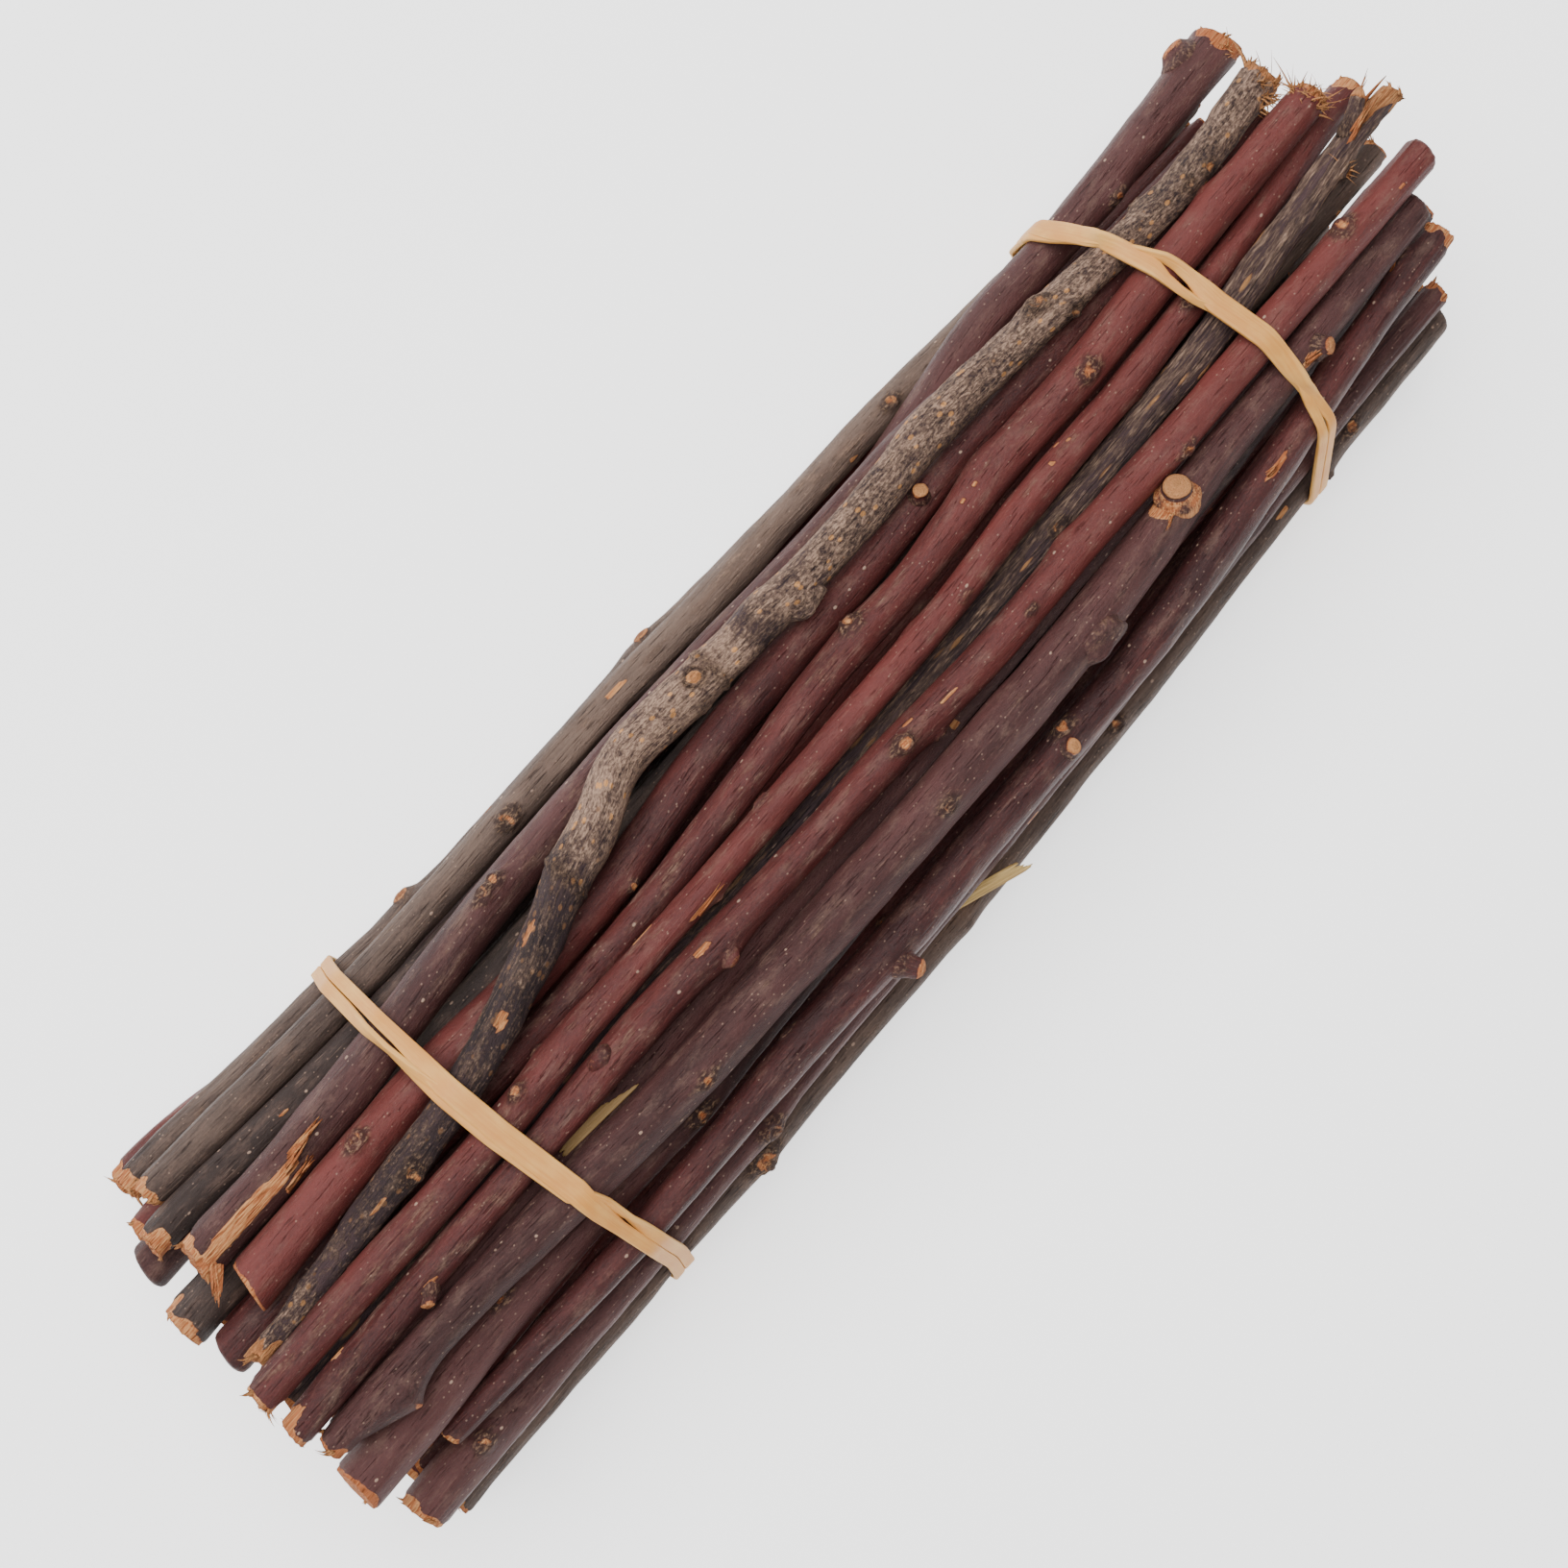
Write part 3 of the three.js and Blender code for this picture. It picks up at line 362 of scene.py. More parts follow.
def through(knots, values, x):
    """The cubic curve through every value, with the slope at each knot taken from its neighbours."""
    slopes = np.gradient(values, knots)
    k = np.clip(np.searchsorted(knots, x) - 1, 0, len(knots) - 2)
    step = knots[k + 1] - knots[k]
    t = np.clip((x - knots[k]) / step, 0, 1)
    eased = t * t * (3 - 2 * t)
    bend = t * (1 - t) * ((1 - t) * slopes[k] - t * slopes[k + 1]) * step
    return values[k] * (1 - eased) + values[k + 1] * eased + bend


def bell(value):
    """exp(-value^2): 1 where value is 0, and next to nothing where it is past 2 either way."""
    return np.exp(-(value**2))


def circle(count):
    """Even turns once round, in radians."""
    return np.linspace(0, 2 * np.pi, count, endpoint=False)


def unit(vectors):
    """The directions of vectors."""
    return vectors / np.linalg.norm(vectors, axis=-1, keepdims=True)


def sighted(x, y, level):
    """Where the camera's line to a noted place meets a level."""
    near = (EYE[2] - level) / (EYE[2] - MARK_LEVEL)
    return EYE[0] + (x - EYE[0] - MARK_SHIFT) * near, EYE[1] + y * near


def aimed(place, target, right):
    """The matrix of a lamp or camera at a place that looks at a target, with its right side along right."""
    back = unit(place - target)
    level = unit(np.array([1.0, 0, 0]) - back[0] * back)
    side = unit(right[0] * level + right[1] * np.cross(back, level))
    columns = np.column_stack([side, np.cross(back, side), back, place])
    return Matrix([*columns.tolist(), (0, 0, 0, 1)])


# Surfaces


class Surface:
    """Closed grids gathered into one mesh, with a value at each point for every paint."""

    PAINTS = {"bark": 3, "wood": 1, "scar": 1, "tint": 1, "film": 1}

    def __init__(self):
        self.count = 0
        self.points, self.quads, self.fans = [], [], []
        self.paint = {name: [] for name in self.PAINTS}

    def keep(self, points, paint):
        """Takes points, raised to the floor if under it, and their paints. Returns their numbers."""
        points = np.maximum(points.reshape(-1, 3), [-np.inf, -np.inf, 0.0])
        self.points.append(points)
        for name, width in self.PAINTS.items():
            self.paint[name].append(paint[name].reshape(-1, width))
        self.count += len(points)
        return np.arange(self.count - len(points), self.count)

    def add(self, grid, joined=False, **paint):
        """grid[n, i, j] is point j of ring i of tube n, or grid[i, j] of a single tube. Quads join each ring
        to the next, and the last to the first, or a fan to a point in its middle closes each end."""
        grid = grid.reshape(-1, *grid.shape[-3:])
        shape = grid.shape[:3]
        full = {}
        for name, width in self.PAINTS.items():
            values = np.asarray(paint.get(name, 0.0))
            full[name] = np.broadcast_to(values if width == 3 else values[..., None], shape + (width,))
        ring = self.keep(grid, full).reshape(shape)
        rows = np.concatenate([ring, ring[:, :1]], 1) if joined else ring
        beside = np.roll(rows, -1, 2)
        quads = [rows[:, :-1], beside[:, :-1], beside[:, 1:], rows[:, 1:]]
        self.quads.append(np.stack(quads, -1).reshape(-1, 4))
        for end in () if joined else (0, -1):
            means = {name: values[:, end].mean(1) for name, values in full.items()}
            middle = self.keep(grid[:, end].mean(1), means)
            hub = np.broadcast_to(middle[:, None], ring[:, end].shape)
            edge = [ring[:, end], np.roll(ring[:, end], -1, 1)]
            self.fans.append(np.stack([hub, *(edge if end else edge[::-1])], -1).reshape(-1, 3))

    def piece(self, name, node, slot, material):
        """Makes the mesh and the object, and lets it stand for its node."""
        mesh = bpy.data.meshes.new(name)
        mesh.vertices.add(self.count)
        mesh.vertices.foreach_set("co", (np.concatenate(self.points) * MM).astype(np.float32).ravel())
        quads = np.concatenate(self.quads)
        fans = np.concatenate(self.fans) if self.fans else np.empty((0, 3), int)
        corners = np.concatenate([quads.ravel(), fans.ravel()])
        starts = np.concatenate([np.arange(len(quads)) * 4, quads.size + np.arange(len(fans)) * 3])
        mesh.loops.add(len(corners))
        mesh.loops.foreach_set("vertex_index", corners.astype(np.int32))
        mesh.polygons.add(len(starts))
        mesh.polygons.foreach_set("loop_start", starts.astype(np.int32))
        for paint, width in self.PAINTS.items():
            kind, key = ("FLOAT_VECTOR", "vector") if width == 3 else ("FLOAT", "value")
            values = np.concatenate(self.paint[paint]).astype(np.float32).ravel()
            mesh.attributes.new(paint, kind, "POINT").data.foreach_set(key, values)
        mesh.update(calc_edges=True)
        mesh.shade_smooth()
        if mesh.validate():
            raise RuntimeError(f"{name} has faces that don't hold together")
        mesh.materials.append(material)
        piece = bpy.data.objects.new(name, mesh)
        bpy.context.scene.collection.objects.link(piece)
        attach(piece, "root")
        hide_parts(node)


def solid_points(node):
    """The corners of a node's solid, each once, in millimetres."""
    mesh = frame["nodes"][node].data
    flat = np.empty(3 * len(mesh.vertices), np.float32)
    mesh.vertices.foreach_get("co", flat)
    return np.unique(np.round(flat.reshape(-1, 3).astype(float) / MM, 3), axis=0)


class Course:
    """A twig's middle line and radius along X, and the slants of its ends, read from its solid's rings."""

    def __init__(self, node, kinks):
        points = solid_points(node)
        _, plane, counts = np.unique(np.round(points[:, 0], 2), return_inverse=True, return_counts=True)
        sides = np.bincount(counts[counts > 4]).argmax()
        order = points[np.argsort(points[:, 0])]
        ends = [order[: sides + 1], order[-sides - 1 :]]
        rings = [points[plane == k] for k in np.flatnonzero(counts == sides)]
        sections = [ends[0], *rings, ends[1]]
        self.x, self.y, self.z = np.array([s.mean(0) for s in sections]).T
        spans = [np.sort(np.hypot(*(s - s.mean(0))[:, 1:].T))[-sides:] for s in sections]
        self.radius = np.array([s.mean() for s in spans])
        away = [end - end.mean(0) for end in ends]
        self.slants = [np.linalg.lstsq(a[:, 1:], a[:, 0], rcond=None)[0] for a in away]
        self.kinks = kinks

    def at(self, x):
        """y, z and radius at x."""
        y, z, radius = (through(self.x, values, x) for values in (self.y, self.z, self.radius))
        for place, aside, over in self.kinks:
            y = y + aside * bell((x - place) / over)
        return y, z, radius

    def seen(self, x, y):
        """Where a place noted as the camera sees it lies on this twig: x, and the turn about the twig."""
        _, z, radius = self.at(x - MARK_SHIFT)
        place, aside = sighted(x, y, z + 0.8 * radius)
        middle, _, radius = self.at(place)
        return float(place), float(np.arccos(np.clip((aside - middle) / radius, -0.95, 0.95)))

    def point(self, x, turn, lift=0.0):
        """A point over the bark at x and turn."""
        y, z, radius = self.at(x)
        return np.stack(np.broadcast_arrays(
            x, y + (radius + lift) * np.cos(turn), z + (radius + lift) * np.sin(turn)), -1)


def carve(kind, along, around, long, wide, seed):
    """Height, bare wood and scar that one mark adds, from the distances along and around the twig to its
    middle. d is the distance in half lengths and half widths. A knot is a swelling with a lumpy rim at d
    near 1 and a pit in the middle, an eye a flat healed oval in a dark groove, a bud a pointed ridge, a bulge
    a plain swelling, a heel a fin with a sharp tip, a ring a wrinkled collar, and a tear or fleck a ragged
    patch that narrows to its ends."""
    d = np.hypot(along / long, around / wide)
    wander = rough(along / 0.7, around / 0.35, 0.0, seed)
    if kind == "knot":
        lump = rough(along / 0.6, around / 0.5, 0.3, seed + 3)
        swell = 0.42 * long * bell(along / (2.8 * long)) * bell(around / (1.9 * wide))
        rim = 0.36 * long * bell((d - 0.8) / 0.36) * (1 + 1.1 * lump)
        pit = -0.2 * long * bell(d / 0.45)
        wood = soft(1.1, 0.5, d + 0.3 * wander) * np.clip(0.42 + 0.5 * lump, 0, 1)
        collar = np.hypot(along / (1.9 * long), around / (1.3 * wide))
        return swell + rim + pit, wood, soft(1.2, 0.6, collar + 0.4 * wander) * (1 - 0.5 * wood)
    if kind == "eye":
        groove = bell((d - 1.0) / 0.3)
        rise = 0.3 * long * bell(d / 1.7) - 0.28 * groove
        return rise, 0.8 * soft(0.85, 0.6, d + 0.15 * wander), 1.3 * groove
    if kind == "bud":
        taper = np.clip(1 - (along / long + 1) / 2.4, 0.05, 1)
        body = soft(1.0, 0.2, np.abs(around) / (wide * taper)) * soft(1.15, 0.8, np.abs(along / long))
        return 0.6 * wide * body, 0.38 * body, 0.75 * soft(1.8, 1.0, d) * (1 - 0.6 * body)
    if kind == "bulge":
        swell = bell(along / (1.6 * long)) * bell(around / (1.5 * wide))
        return 0.4 * wide * swell, 0 * d, 0.35 * soft(0.9, 0.3, d + 0.3 * wander)
    if kind == "heel":
        fin = np.exp(-np.maximum(along, 0) / (0.8 * long)) * np.clip(1 + along / (2.4 * long), 0, 1)
        fin = fin * bell(around / wide)
        return 1.1 * wide * fin, 0.7 * soft(0.84, 0.98, fin), 0 * d
    if kind == "ring":
        collar = bell((along + 0.35 * wander) / (0.8 * long))
        return 0.2 * collar * (1 + 0.6 * np.cos(7 * along + 3 * wander)), 0 * d, 0.8 * collar
    span = np.abs(along) / long
    narrow = wide * (1 - 0.6 * soft(0.3, 1.1, span))
    patch = soft(1.1, 0.75, np.abs(around) / narrow + 0.3 * wander)
    patch = patch * soft(1.05, 0.8, span + 0.15 * wander)
    if kind == "fleck":
        return 0.03 * patch, patch, 0 * d
    return -0.14 * patch * (1 - 0.4 * wander), patch, 0.25 * soft(1.5, 1.1, d) * (1 - patch)


def chance_marks(course, shown, chance):
    """Knots, buds, bulges and flecks for the sides that no note covers, about one to every pitch."""
    span = course.x[-1] - course.x[0]
    count = int(span / MARK_PITCH)
    x = course.x[0] + span * (np.arange(count) + chance.uniform(0.2, 0.8, count)) / count
    turn = np.radians(chance.uniform(185, 355, count) if shown else chance.uniform(0, 360, count))
    kinds = chance.choice(["knot", "knot", "knot", "bud", "bulge", "fleck"], count)
    size = chance.uniform(0.5, 0.85, count) * np.where(kinds == "bulge", 1.6, 1)
    return list(zip(kinds.tolist(), x, turn, size, 0.8 * size))


def tones(name, seed, x):
    """Tint and film of a twig's bark at x. A twig without notes has a tint of its own and a thin film."""
    plain = [(0, 0.7 * noise(seed * 1.7, 0.5, 0.5), 0.2)]
    places, tints, films = np.array(TINTS.get(name, plain), float).T
    return np.interp(x, places, tints), np.interp(x, places, films)


def row_shares(course, marks, step):
    """Places of the rows along a twig from 0 to 1, in even steps that shrink at its marks and its ends."""
    x = np.linspace(course.x[0], course.x[-1], 2000)
    places = np.array([mark[1] for mark in marks if mark[0] != "tear"])
    crowd = 1 + 1.7 * bell((x[:, None] - places) / 1.7).max(1)
    crowd += 2 * bell(np.minimum(x - x[0], x[-1] - x) / 1.6)
    walked = np.concatenate([[0], np.cumsum((crowd[1:] + crowd[:-1]) / 2 * np.diff(x))])
    rows = np.interp(np.linspace(0, walked[-1], int(walked[-1] / step)), walked, x)
    return (rows - x[0]) / (x[-1] - x[0])


def twig_body(surface, course, name, marks, ends, step, sides, rugged, sizes, seed):
    """A tube along X: at each row a ring of radius r(x) about the middle line, made uneven by noise that is
    slow along the twig, ridged by noise that is fast around it, raised or sunk by each mark, and cut back by
    the bark's depth where it is chipped at the ends. Rings that shrink to the middle close both ends."""
    turn = circle(sides)
    c, s = np.cos(turn), np.sin(turn)
    share = row_shares(course, marks, step)[:, None]
    rims = [course.x[e] + course.radius[e] * (course.slants[e] @ np.stack([c, s])) for e in (0, -1)]
    x = rims[0] + share * (rims[1] - rims[0])
    y, z, radius = course.at(x)
    dry = np.exp(-np.minimum(x - rims[0], rims[1] - x) / 14)
    uneven = noise(x / 9, 1.1 * c, 1.1 * s, seed) + 0.5 * noise(x / 3, 1.6 * c, 1.6 * s, seed + 5)
    ridges = noise(x / 13, 5 * c, 5 * s, seed + 11) + 0.6 * noise(x / 7, 9 * c, 9 * s, seed + 12)
    height = radius * sizes.ripple * uneven + sizes.ridge / MM * ridges * (1 + 1.5 * dry)
    lumps = rough(x / 1.3, 2.2 * c, 2.2 * s, seed + 21) + 1.4 * noise(x / 3.6, 1.2 * c, 1.2 * s, seed + 25)
    height = height + rugged * lumps
    wood, scar = np.zeros_like(x), np.zeros_like(x)
    for k, (kind, place, mark_turn, long, wide) in enumerate(marks):
        around = radius * ((turn - mark_turn + np.pi) % (2 * np.pi) - np.pi)
        rise, bare, dark = carve(kind, x - place, around, long, wide, seed + 31 * k)
        height, wood, scar = height + rise, np.maximum(wood, bare), np.maximum(scar, dark)
    frayed = rough(x / 0.5, 4 * c, 4 * s, seed + 41)
    for rim, chip, away in ((rims[0], ends[0], x - rims[0]), (rims[1], ends[2], rims[1] - x)):
        if chip:
            edge = chip * (0.15 + 0.85 * soft(-0.5, 0.7, noise(rim[0], 1.5 * c, 1.5 * s, seed + 51)))
            chipped = soft(edge + 0.3, edge - 0.1, away + 0.3 * frayed)
            height, wood = height - sizes.bark_depth / MM * chipped, np.maximum(wood, chipped)
        else:
            height = height - 0.45 * (1 - np.sqrt(1 - np.clip(1 - away / 0.6, 0, 1) ** 2))
    reach = radius + height
    caps = []
    for end, fibres, out in ((0, ends[1], -1), (-1, ends[3], 1)):
        inner = END_RINGS * reach[end]
        grain = rough(inner * c / 0.45, inner * s / 0.45, seed * 1.0, seed + 61)
        flat = course.x[end] + inner * (course.slants[end] @ np.stack([c, s]))
        flat = flat + out * (0.08 + 0.03 * min(fibres, 12)) * grain
        caps.append([flat, *(np.broadcast_to(v[end], inner.shape) for v in (y, z)), inner])
    rows = zip(caps[0], (x, y, z, reach), caps[1])
    x, y, z, reach = (np.concatenate([first[::-1], body, last]) for first, body, last in rows)
    bare = [np.full(inner.shape, float(chip > 0)) for chip in ends[::2]]
    wood = np.concatenate([bare[0], wood, bare[1]])
    scar = np.concatenate([0.4 - 0.4 * bare[0], scar, 0.4 - 0.4 * bare[1]])
    grid = np.stack([x, y + reach * c, z + reach * s], -1)
    bark = np.stack([DRAWN.get(name, 1.0) * x + 37.0 * seed, reach * c, reach * s], -1)
    tint, film = tones(name, seed, x)
    surface.add(grid, bark=bark, wood=wood, scar=scar, tint=tint, film=film)


def fibre_tufts(surface, roots, leads, widths, curl, pale):
    """Thin spikes: the middle line is root + lead t + curl t^2, and the width shrinks with t^2."""
    t = np.linspace(0, 1, FIBRE_ROWS)[None, :, None]
    line = roots[:, None] + leads[:, None] * t + curl[:, None] * t * t
    ahead = unit(leads)
    aside = unit(np.cross(ahead, np.where(np.abs(ahead[:, 2:]) < 0.8, [[0, 0, 1.0]], [[0, 1.0, 0]])))
    over = np.cross(ahead, aside)
    turn = circle(FIBRE_SIDES)
    spoke = aside[:, None] * np.cos(turn)[:, None] + 0.6 * over[:, None] * np.sin(turn)[:, None]
    girth = widths[:, None, None, None] * (1 - 0.85 * t[..., None] ** 2)
    grid = line[:, :, None] + girth * spoke[:, None]
    surface.add(grid, bark=grid, wood=1.0, tint=0.5, film=pale)


def end_fibres(surface, course, end, count, size, chance):
    """Clumps of fibres that stand out of a torn end near its rim, each clump bent much the same way."""
    if not count:
        return
    out = -1.0 if end == 0 else 1.0
    clumps = count // 3 + 1
    clump = np.repeat(np.arange(clumps), 4)
    number = len(clump)
    turn = chance.uniform(0, 2 * np.pi, clumps)[clump] + chance.normal(0, 0.12, number)
    radius = course.radius[end] * np.sqrt(chance.uniform(0.5, 0.9, clumps))[clump]
    spread = np.stack([np.cos(turn), np.sin(turn)], -1)
    flat = radius[:, None] * spread
    rim = course.x[end] + flat @ course.slants[end] - 0.4 * out
    roots = np.c_[rim, course.y[end] + flat[:, 0], course.z[end] + flat[:, 1]]
    reach = size * chance.uniform(0.35, 1.0, clumps)[clump] * chance.uniform(0.6, 1.0, number)
    reach = reach[:, None]
    bent = chance.normal(0, 0.3, (clumps, 2))[clump] + chance.normal(0, 0.12, (number, 2))
    curled = chance.normal(0, 0.6, (clumps, 2))[clump] + chance.normal(0, 0.2, (number, 2))
    leads = reach * np.c_[np.full(number, out), 0.35 * spread + bent]
    curl = reach * np.c_[np.full(number, -0.3 * out), curled]
    fibre_tufts(surface, roots, leads, chance.uniform(0.12, 0.3, number), curl, 1.3)


def raised_splinters(surface, course, x0, y0, x1, y1, count, wide, chance):
    """A sheaf of splinters from one noted place to another, lifted a little off the bark towards its tips."""
    place, turn = course.seen(x0, y0)
    root, tip = course.point(place, turn, -0.1), course.point(place, turn, 0.5)
    tip[:2] = sighted(x1, y1, tip[2])
    aside = unit(np.cross(tip - root, [0, 0, 1.0]))
    where = chance.uniform(-0.5, 0.5, count)[:, None] * wide * aside
    back = chance.uniform(0, 0.35, count)[:, None] * (tip - root)
    roots = root + where + back + chance.normal(0, 0.05, (count, 3))
    leads = (tip - root) * chance.uniform(0.6, 1.0, count)[:, None] - back * 0.6 - 0.4 * where
    curl = chance.normal(0, 0.2, (count, 3)) + [0, 0, 0.15]
    fibre_tufts(surface, roots, leads, chance.uniform(0.15, 0.3, count) * (0.3 + wide), curl, 0.1)


def frizz(surface, course, x, y, spread, count, size, chance):
    """A tangle of thin fibres about one place: the roots lie in the bark, and each fibre leaves it outwards
    and along the twig, with a random turn and a strong curl."""
    place, turn = course.seen(x, y)
    places = place + spread * chance.uniform(-1, 1, count)
    turns = turn + chance.normal(0, 0.3, count)
    roots = course.point(places, turns, -0.15)
    out = np.stack([np.full(count, 0.4), np.cos(turns), np.sin(turns)], -1)
    reach = size * chance.uniform(0.35, 1.0, (count, 1))
    leads = reach * (0.7 * out + chance.normal(0, 0.35, (count, 3)))
    curl = reach * chance.normal(0, 0.55, (count, 3))
    fibre_tufts(surface, roots, leads, chance.uniform(0.07, 0.15, count), curl, 1.3)


def cut_stub(surface, course, x, turn, reach, wide, lean, bare, tint, film, seed):
    """A stump: rings along its axis from inside the twig, flared where it leaves the bark and narrowing to
    the cut, then rings that shrink over the domed face. Its collar is scarred, and its face is bare wood. The
    less bare it is, the more it narrows to its tip and spreads along the twig."""
    y, z, radius = course.at(x)
    turn = math.radians(turn)
    axis = unit(np.array([lean, math.cos(turn), math.sin(turn)]))
    first = unit(np.cross([1.0, 0.2, 0.1], axis))
    second = np.cross(axis, first)
    around = circle(STUB_SIDES)
    c, s = np.cos(around), np.sin(around)
    shaft = np.linspace(0.3 * radius, radius + reach, STUB_ROWS)
    out = np.append(shaft, np.full(len(STUB_RINGS), radius + reach))[:, None]
    past = out - radius
    flare = 0.36 + 0.22 * np.exp(-np.maximum(past + 0.15, 0) / (0.35 * reach + 0.1))
    inward = np.append(np.ones(STUB_ROWS), STUB_RINGS)[:, None]
    healed, peeled = max(1 - bare, 0), max(bare - 1, 0)
    taper = 1 - 0.6 * healed * np.clip(past / reach, 0, 1) ** 1.5
    uneven = 1 + (0.07 + 0.05 * healed) * noise(out / 0.8, 1.5 * c, 1.5 * s, seed)
    girth = wide * flare * taper * inward * uneven
    face = inward < 1
    dome = (0.3 + peeled) * reach * (1 - inward**2)
    dome = np.where(face, dome + 0.08 * rough(girth * c / 0.3, girth * s / 0.3, 1.0, seed), 0)
    spoke = c[:, None] * first + (1 + healed) * s[:, None] * second
    grid = np.array([x, y, z]) + (out + dome)[..., None] * axis + girth[..., None] * spoke
    edge = soft(reach - 0.3, reach, past + 0.2 * noise(out, 2 * c, 2 * s, seed))
    side = np.maximum(0.7 * bare * edge, peeled * (1.6 + rough(out, 2 * c, 2 * s, seed + 1)))
    wood = np.where(face, bare, side)
    wood = np.where(face | (past < reach - 0.3) | (peeled == 0), wood, 0.0)
    film = np.where(face, film + (1.2 - film) * min(bare, 1) ** 6, film)
    scar = (0.3 + 0.5 * min(bare, 1)) * soft(0.75 * reach, 0.1, past)
    bark = np.stack([np.broadcast_to(out, girth.shape) + 5 * seed, girth * c, girth * s], -1)
    surface.add(grid, bark=bark, wood=wood, scar=scar * (1 - wood), tint=tint, film=film)


def make_twig(node, settings, finishes):
    """One twig with its marks, stubs, splinters, frizz and frayed ends."""
    name = node.removeprefix("twig_")
    coarse = COARSE.get(name.split("_")[0], 1)
    seed = sorted(frame["nodes"]).index(node) + 1
    chance = np.random.default_rng(seed)
    course = Course(node, KINKS.get(name, []))
    noted = [(kind, *course.seen(x, y), long, wide) for kind, x, y, long, wide in MARKS.get(name, [])]
    ends = ENDS.get(name, PLAIN_END)
    slot = next(p["material_slot"] for p in frame["record"]["subparts"] if p["node"] == node)
    step, sides = settings.row_step / MM * coarse, int(settings.sides / coarse)
    surface = Surface()
    marks = noted + chance_marks(course, coarse == 1, chance)
    twig_body(surface, course, name, marks, ends, step, sides, RUGGED[slot], settings, seed)
    for k, stub in enumerate(STUBS.get(name, [])):
        cut_stub(surface, course, *stub, *tones(name, seed, stub[0]), seed=seed + 7 * k)
    for end, count in ((0, ends[1]), (-1, ends[3])):
        end_fibres(surface, course, end, count, settings.fibre / MM, chance)
    for splinter in SPLINTERS.get(name, []):
        raised_splinters(surface, course, *splinter, chance)
    for tangle in FRIZZ.get(name, []):
        frizz(surface, course, *tangle, settings.fibre / MM, chance)
    surface.piece(name.replace("crown", "top").capitalize() + "_twig", node, slot, finishes[slot])


def band_line(node, count):
    """A band's outer line in even steps: the corners of its solid that lie furthest out in each direction
    round X, walked along and smoothed. Returns the points and the outward directions."""
    points = solid_points(node)
    flat, same = np.unique(points[:, 1:], axis=0, return_inverse=True)
    middle = np.bincount(same.ravel(), points[:, 0]) / np.bincount(same.ravel())
    facing = circle(1440)
    furthest = (flat @ np.stack([np.cos(facing), np.sin(facing)])).argmax(0)
    furthest = furthest[furthest != np.roll(furthest, 1)]
    corners = np.c_[middle, flat][np.append(furthest, furthest[0])]
    walked = np.concatenate([[0], np.cumsum(np.linalg.norm(np.diff(corners, axis=0), axis=1))])
    even = np.linspace(0, walked[-1], count, endpoint=False)
    line = np.stack([np.interp(even, walked, corners[:, k]) for k in range(3)], -1)
    for _ in range(5):
        line = (np.roll(line, 1, 0) + 2 * line + np.roll(line, -1, 0)) / 4
    ahead = np.roll(line, -1, 0) - np.roll(line, 1, 0)
    out = np.stack([0 * ahead[:, 0], ahead[:, 2], -ahead[:, 1]], -1)
    return line, unit(out)


def band_turns(surface, node, settings):
    """Two flat turns that follow the band's line. Each section is a rounded oblong, a = w cos^n and
    h = t sin^n with n of 0.4, turned by the twist, moved along X by the shift and outwards by the lift."""
    line, out = band_line(node, BAND_ROWS)
    thick = settings.thickness / MM
    table = np.array(TURNS[node])
    table = table[np.argsort(table[:, 0])]
    over = soft(-0.15, 0.25, out[:, 2])
    depth = 0.5 + 0.3 * soft(-0.9, 0.0, out[:, 2])
    around = circle(BAND_SIDES)
    corner = [np.sign(v) * np.abs(v) ** 0.4 for v in (np.cos(around), np.sin(around))]
    for k in (1, 5):
        shift, wide, twist, lift = (np.interp(line[:, 1], table[:, 0], table[:, k + j]) for j in range(4))
        shift = over * shift + (1 - over) * np.sign(shift) * PLAIN_SHIFT
        wide = over * wide + (1 - over) * PLAIN_WIDTH
        sway = noise(np.arange(len(line)) / 37, k, 0.5, 3)
        lean = np.radians(over * twist + 6 * sway * over)
        a = wide[:, None] / 2 * corner[0] * (1 + 0.05 * sway[:, None])
        h = thick / 2 * corner[1]
        across = a * np.cos(lean)[:, None] - h * np.sin(lean)[:, None]
        rise = a * np.sin(lean)[:, None] + h * np.cos(lean)[:, None]
        across = across + (shift + 0.05 * sway)[:, None]
        rise = rise + (over * lift - depth)[:, None]
        grid = line[:, None] + across[..., None] * [1.0, 0, 0] + rise[..., None] * out[:, None]
        along = 0.3 * np.arange(len(line))[:, None] + 50 * k
        bark = np.stack(np.broadcast_arrays(along, a, h), -1)
        # edge is 1 at the sides of each section, and turned grows with the twist: both carry a painted
        # highlight
        edge, turned = np.abs(corner[0]) ** 6, np.abs(np.sin(lean))[:, None]
        surface.add(grid, joined=True, bark=bark, wood=edge, film=turned)


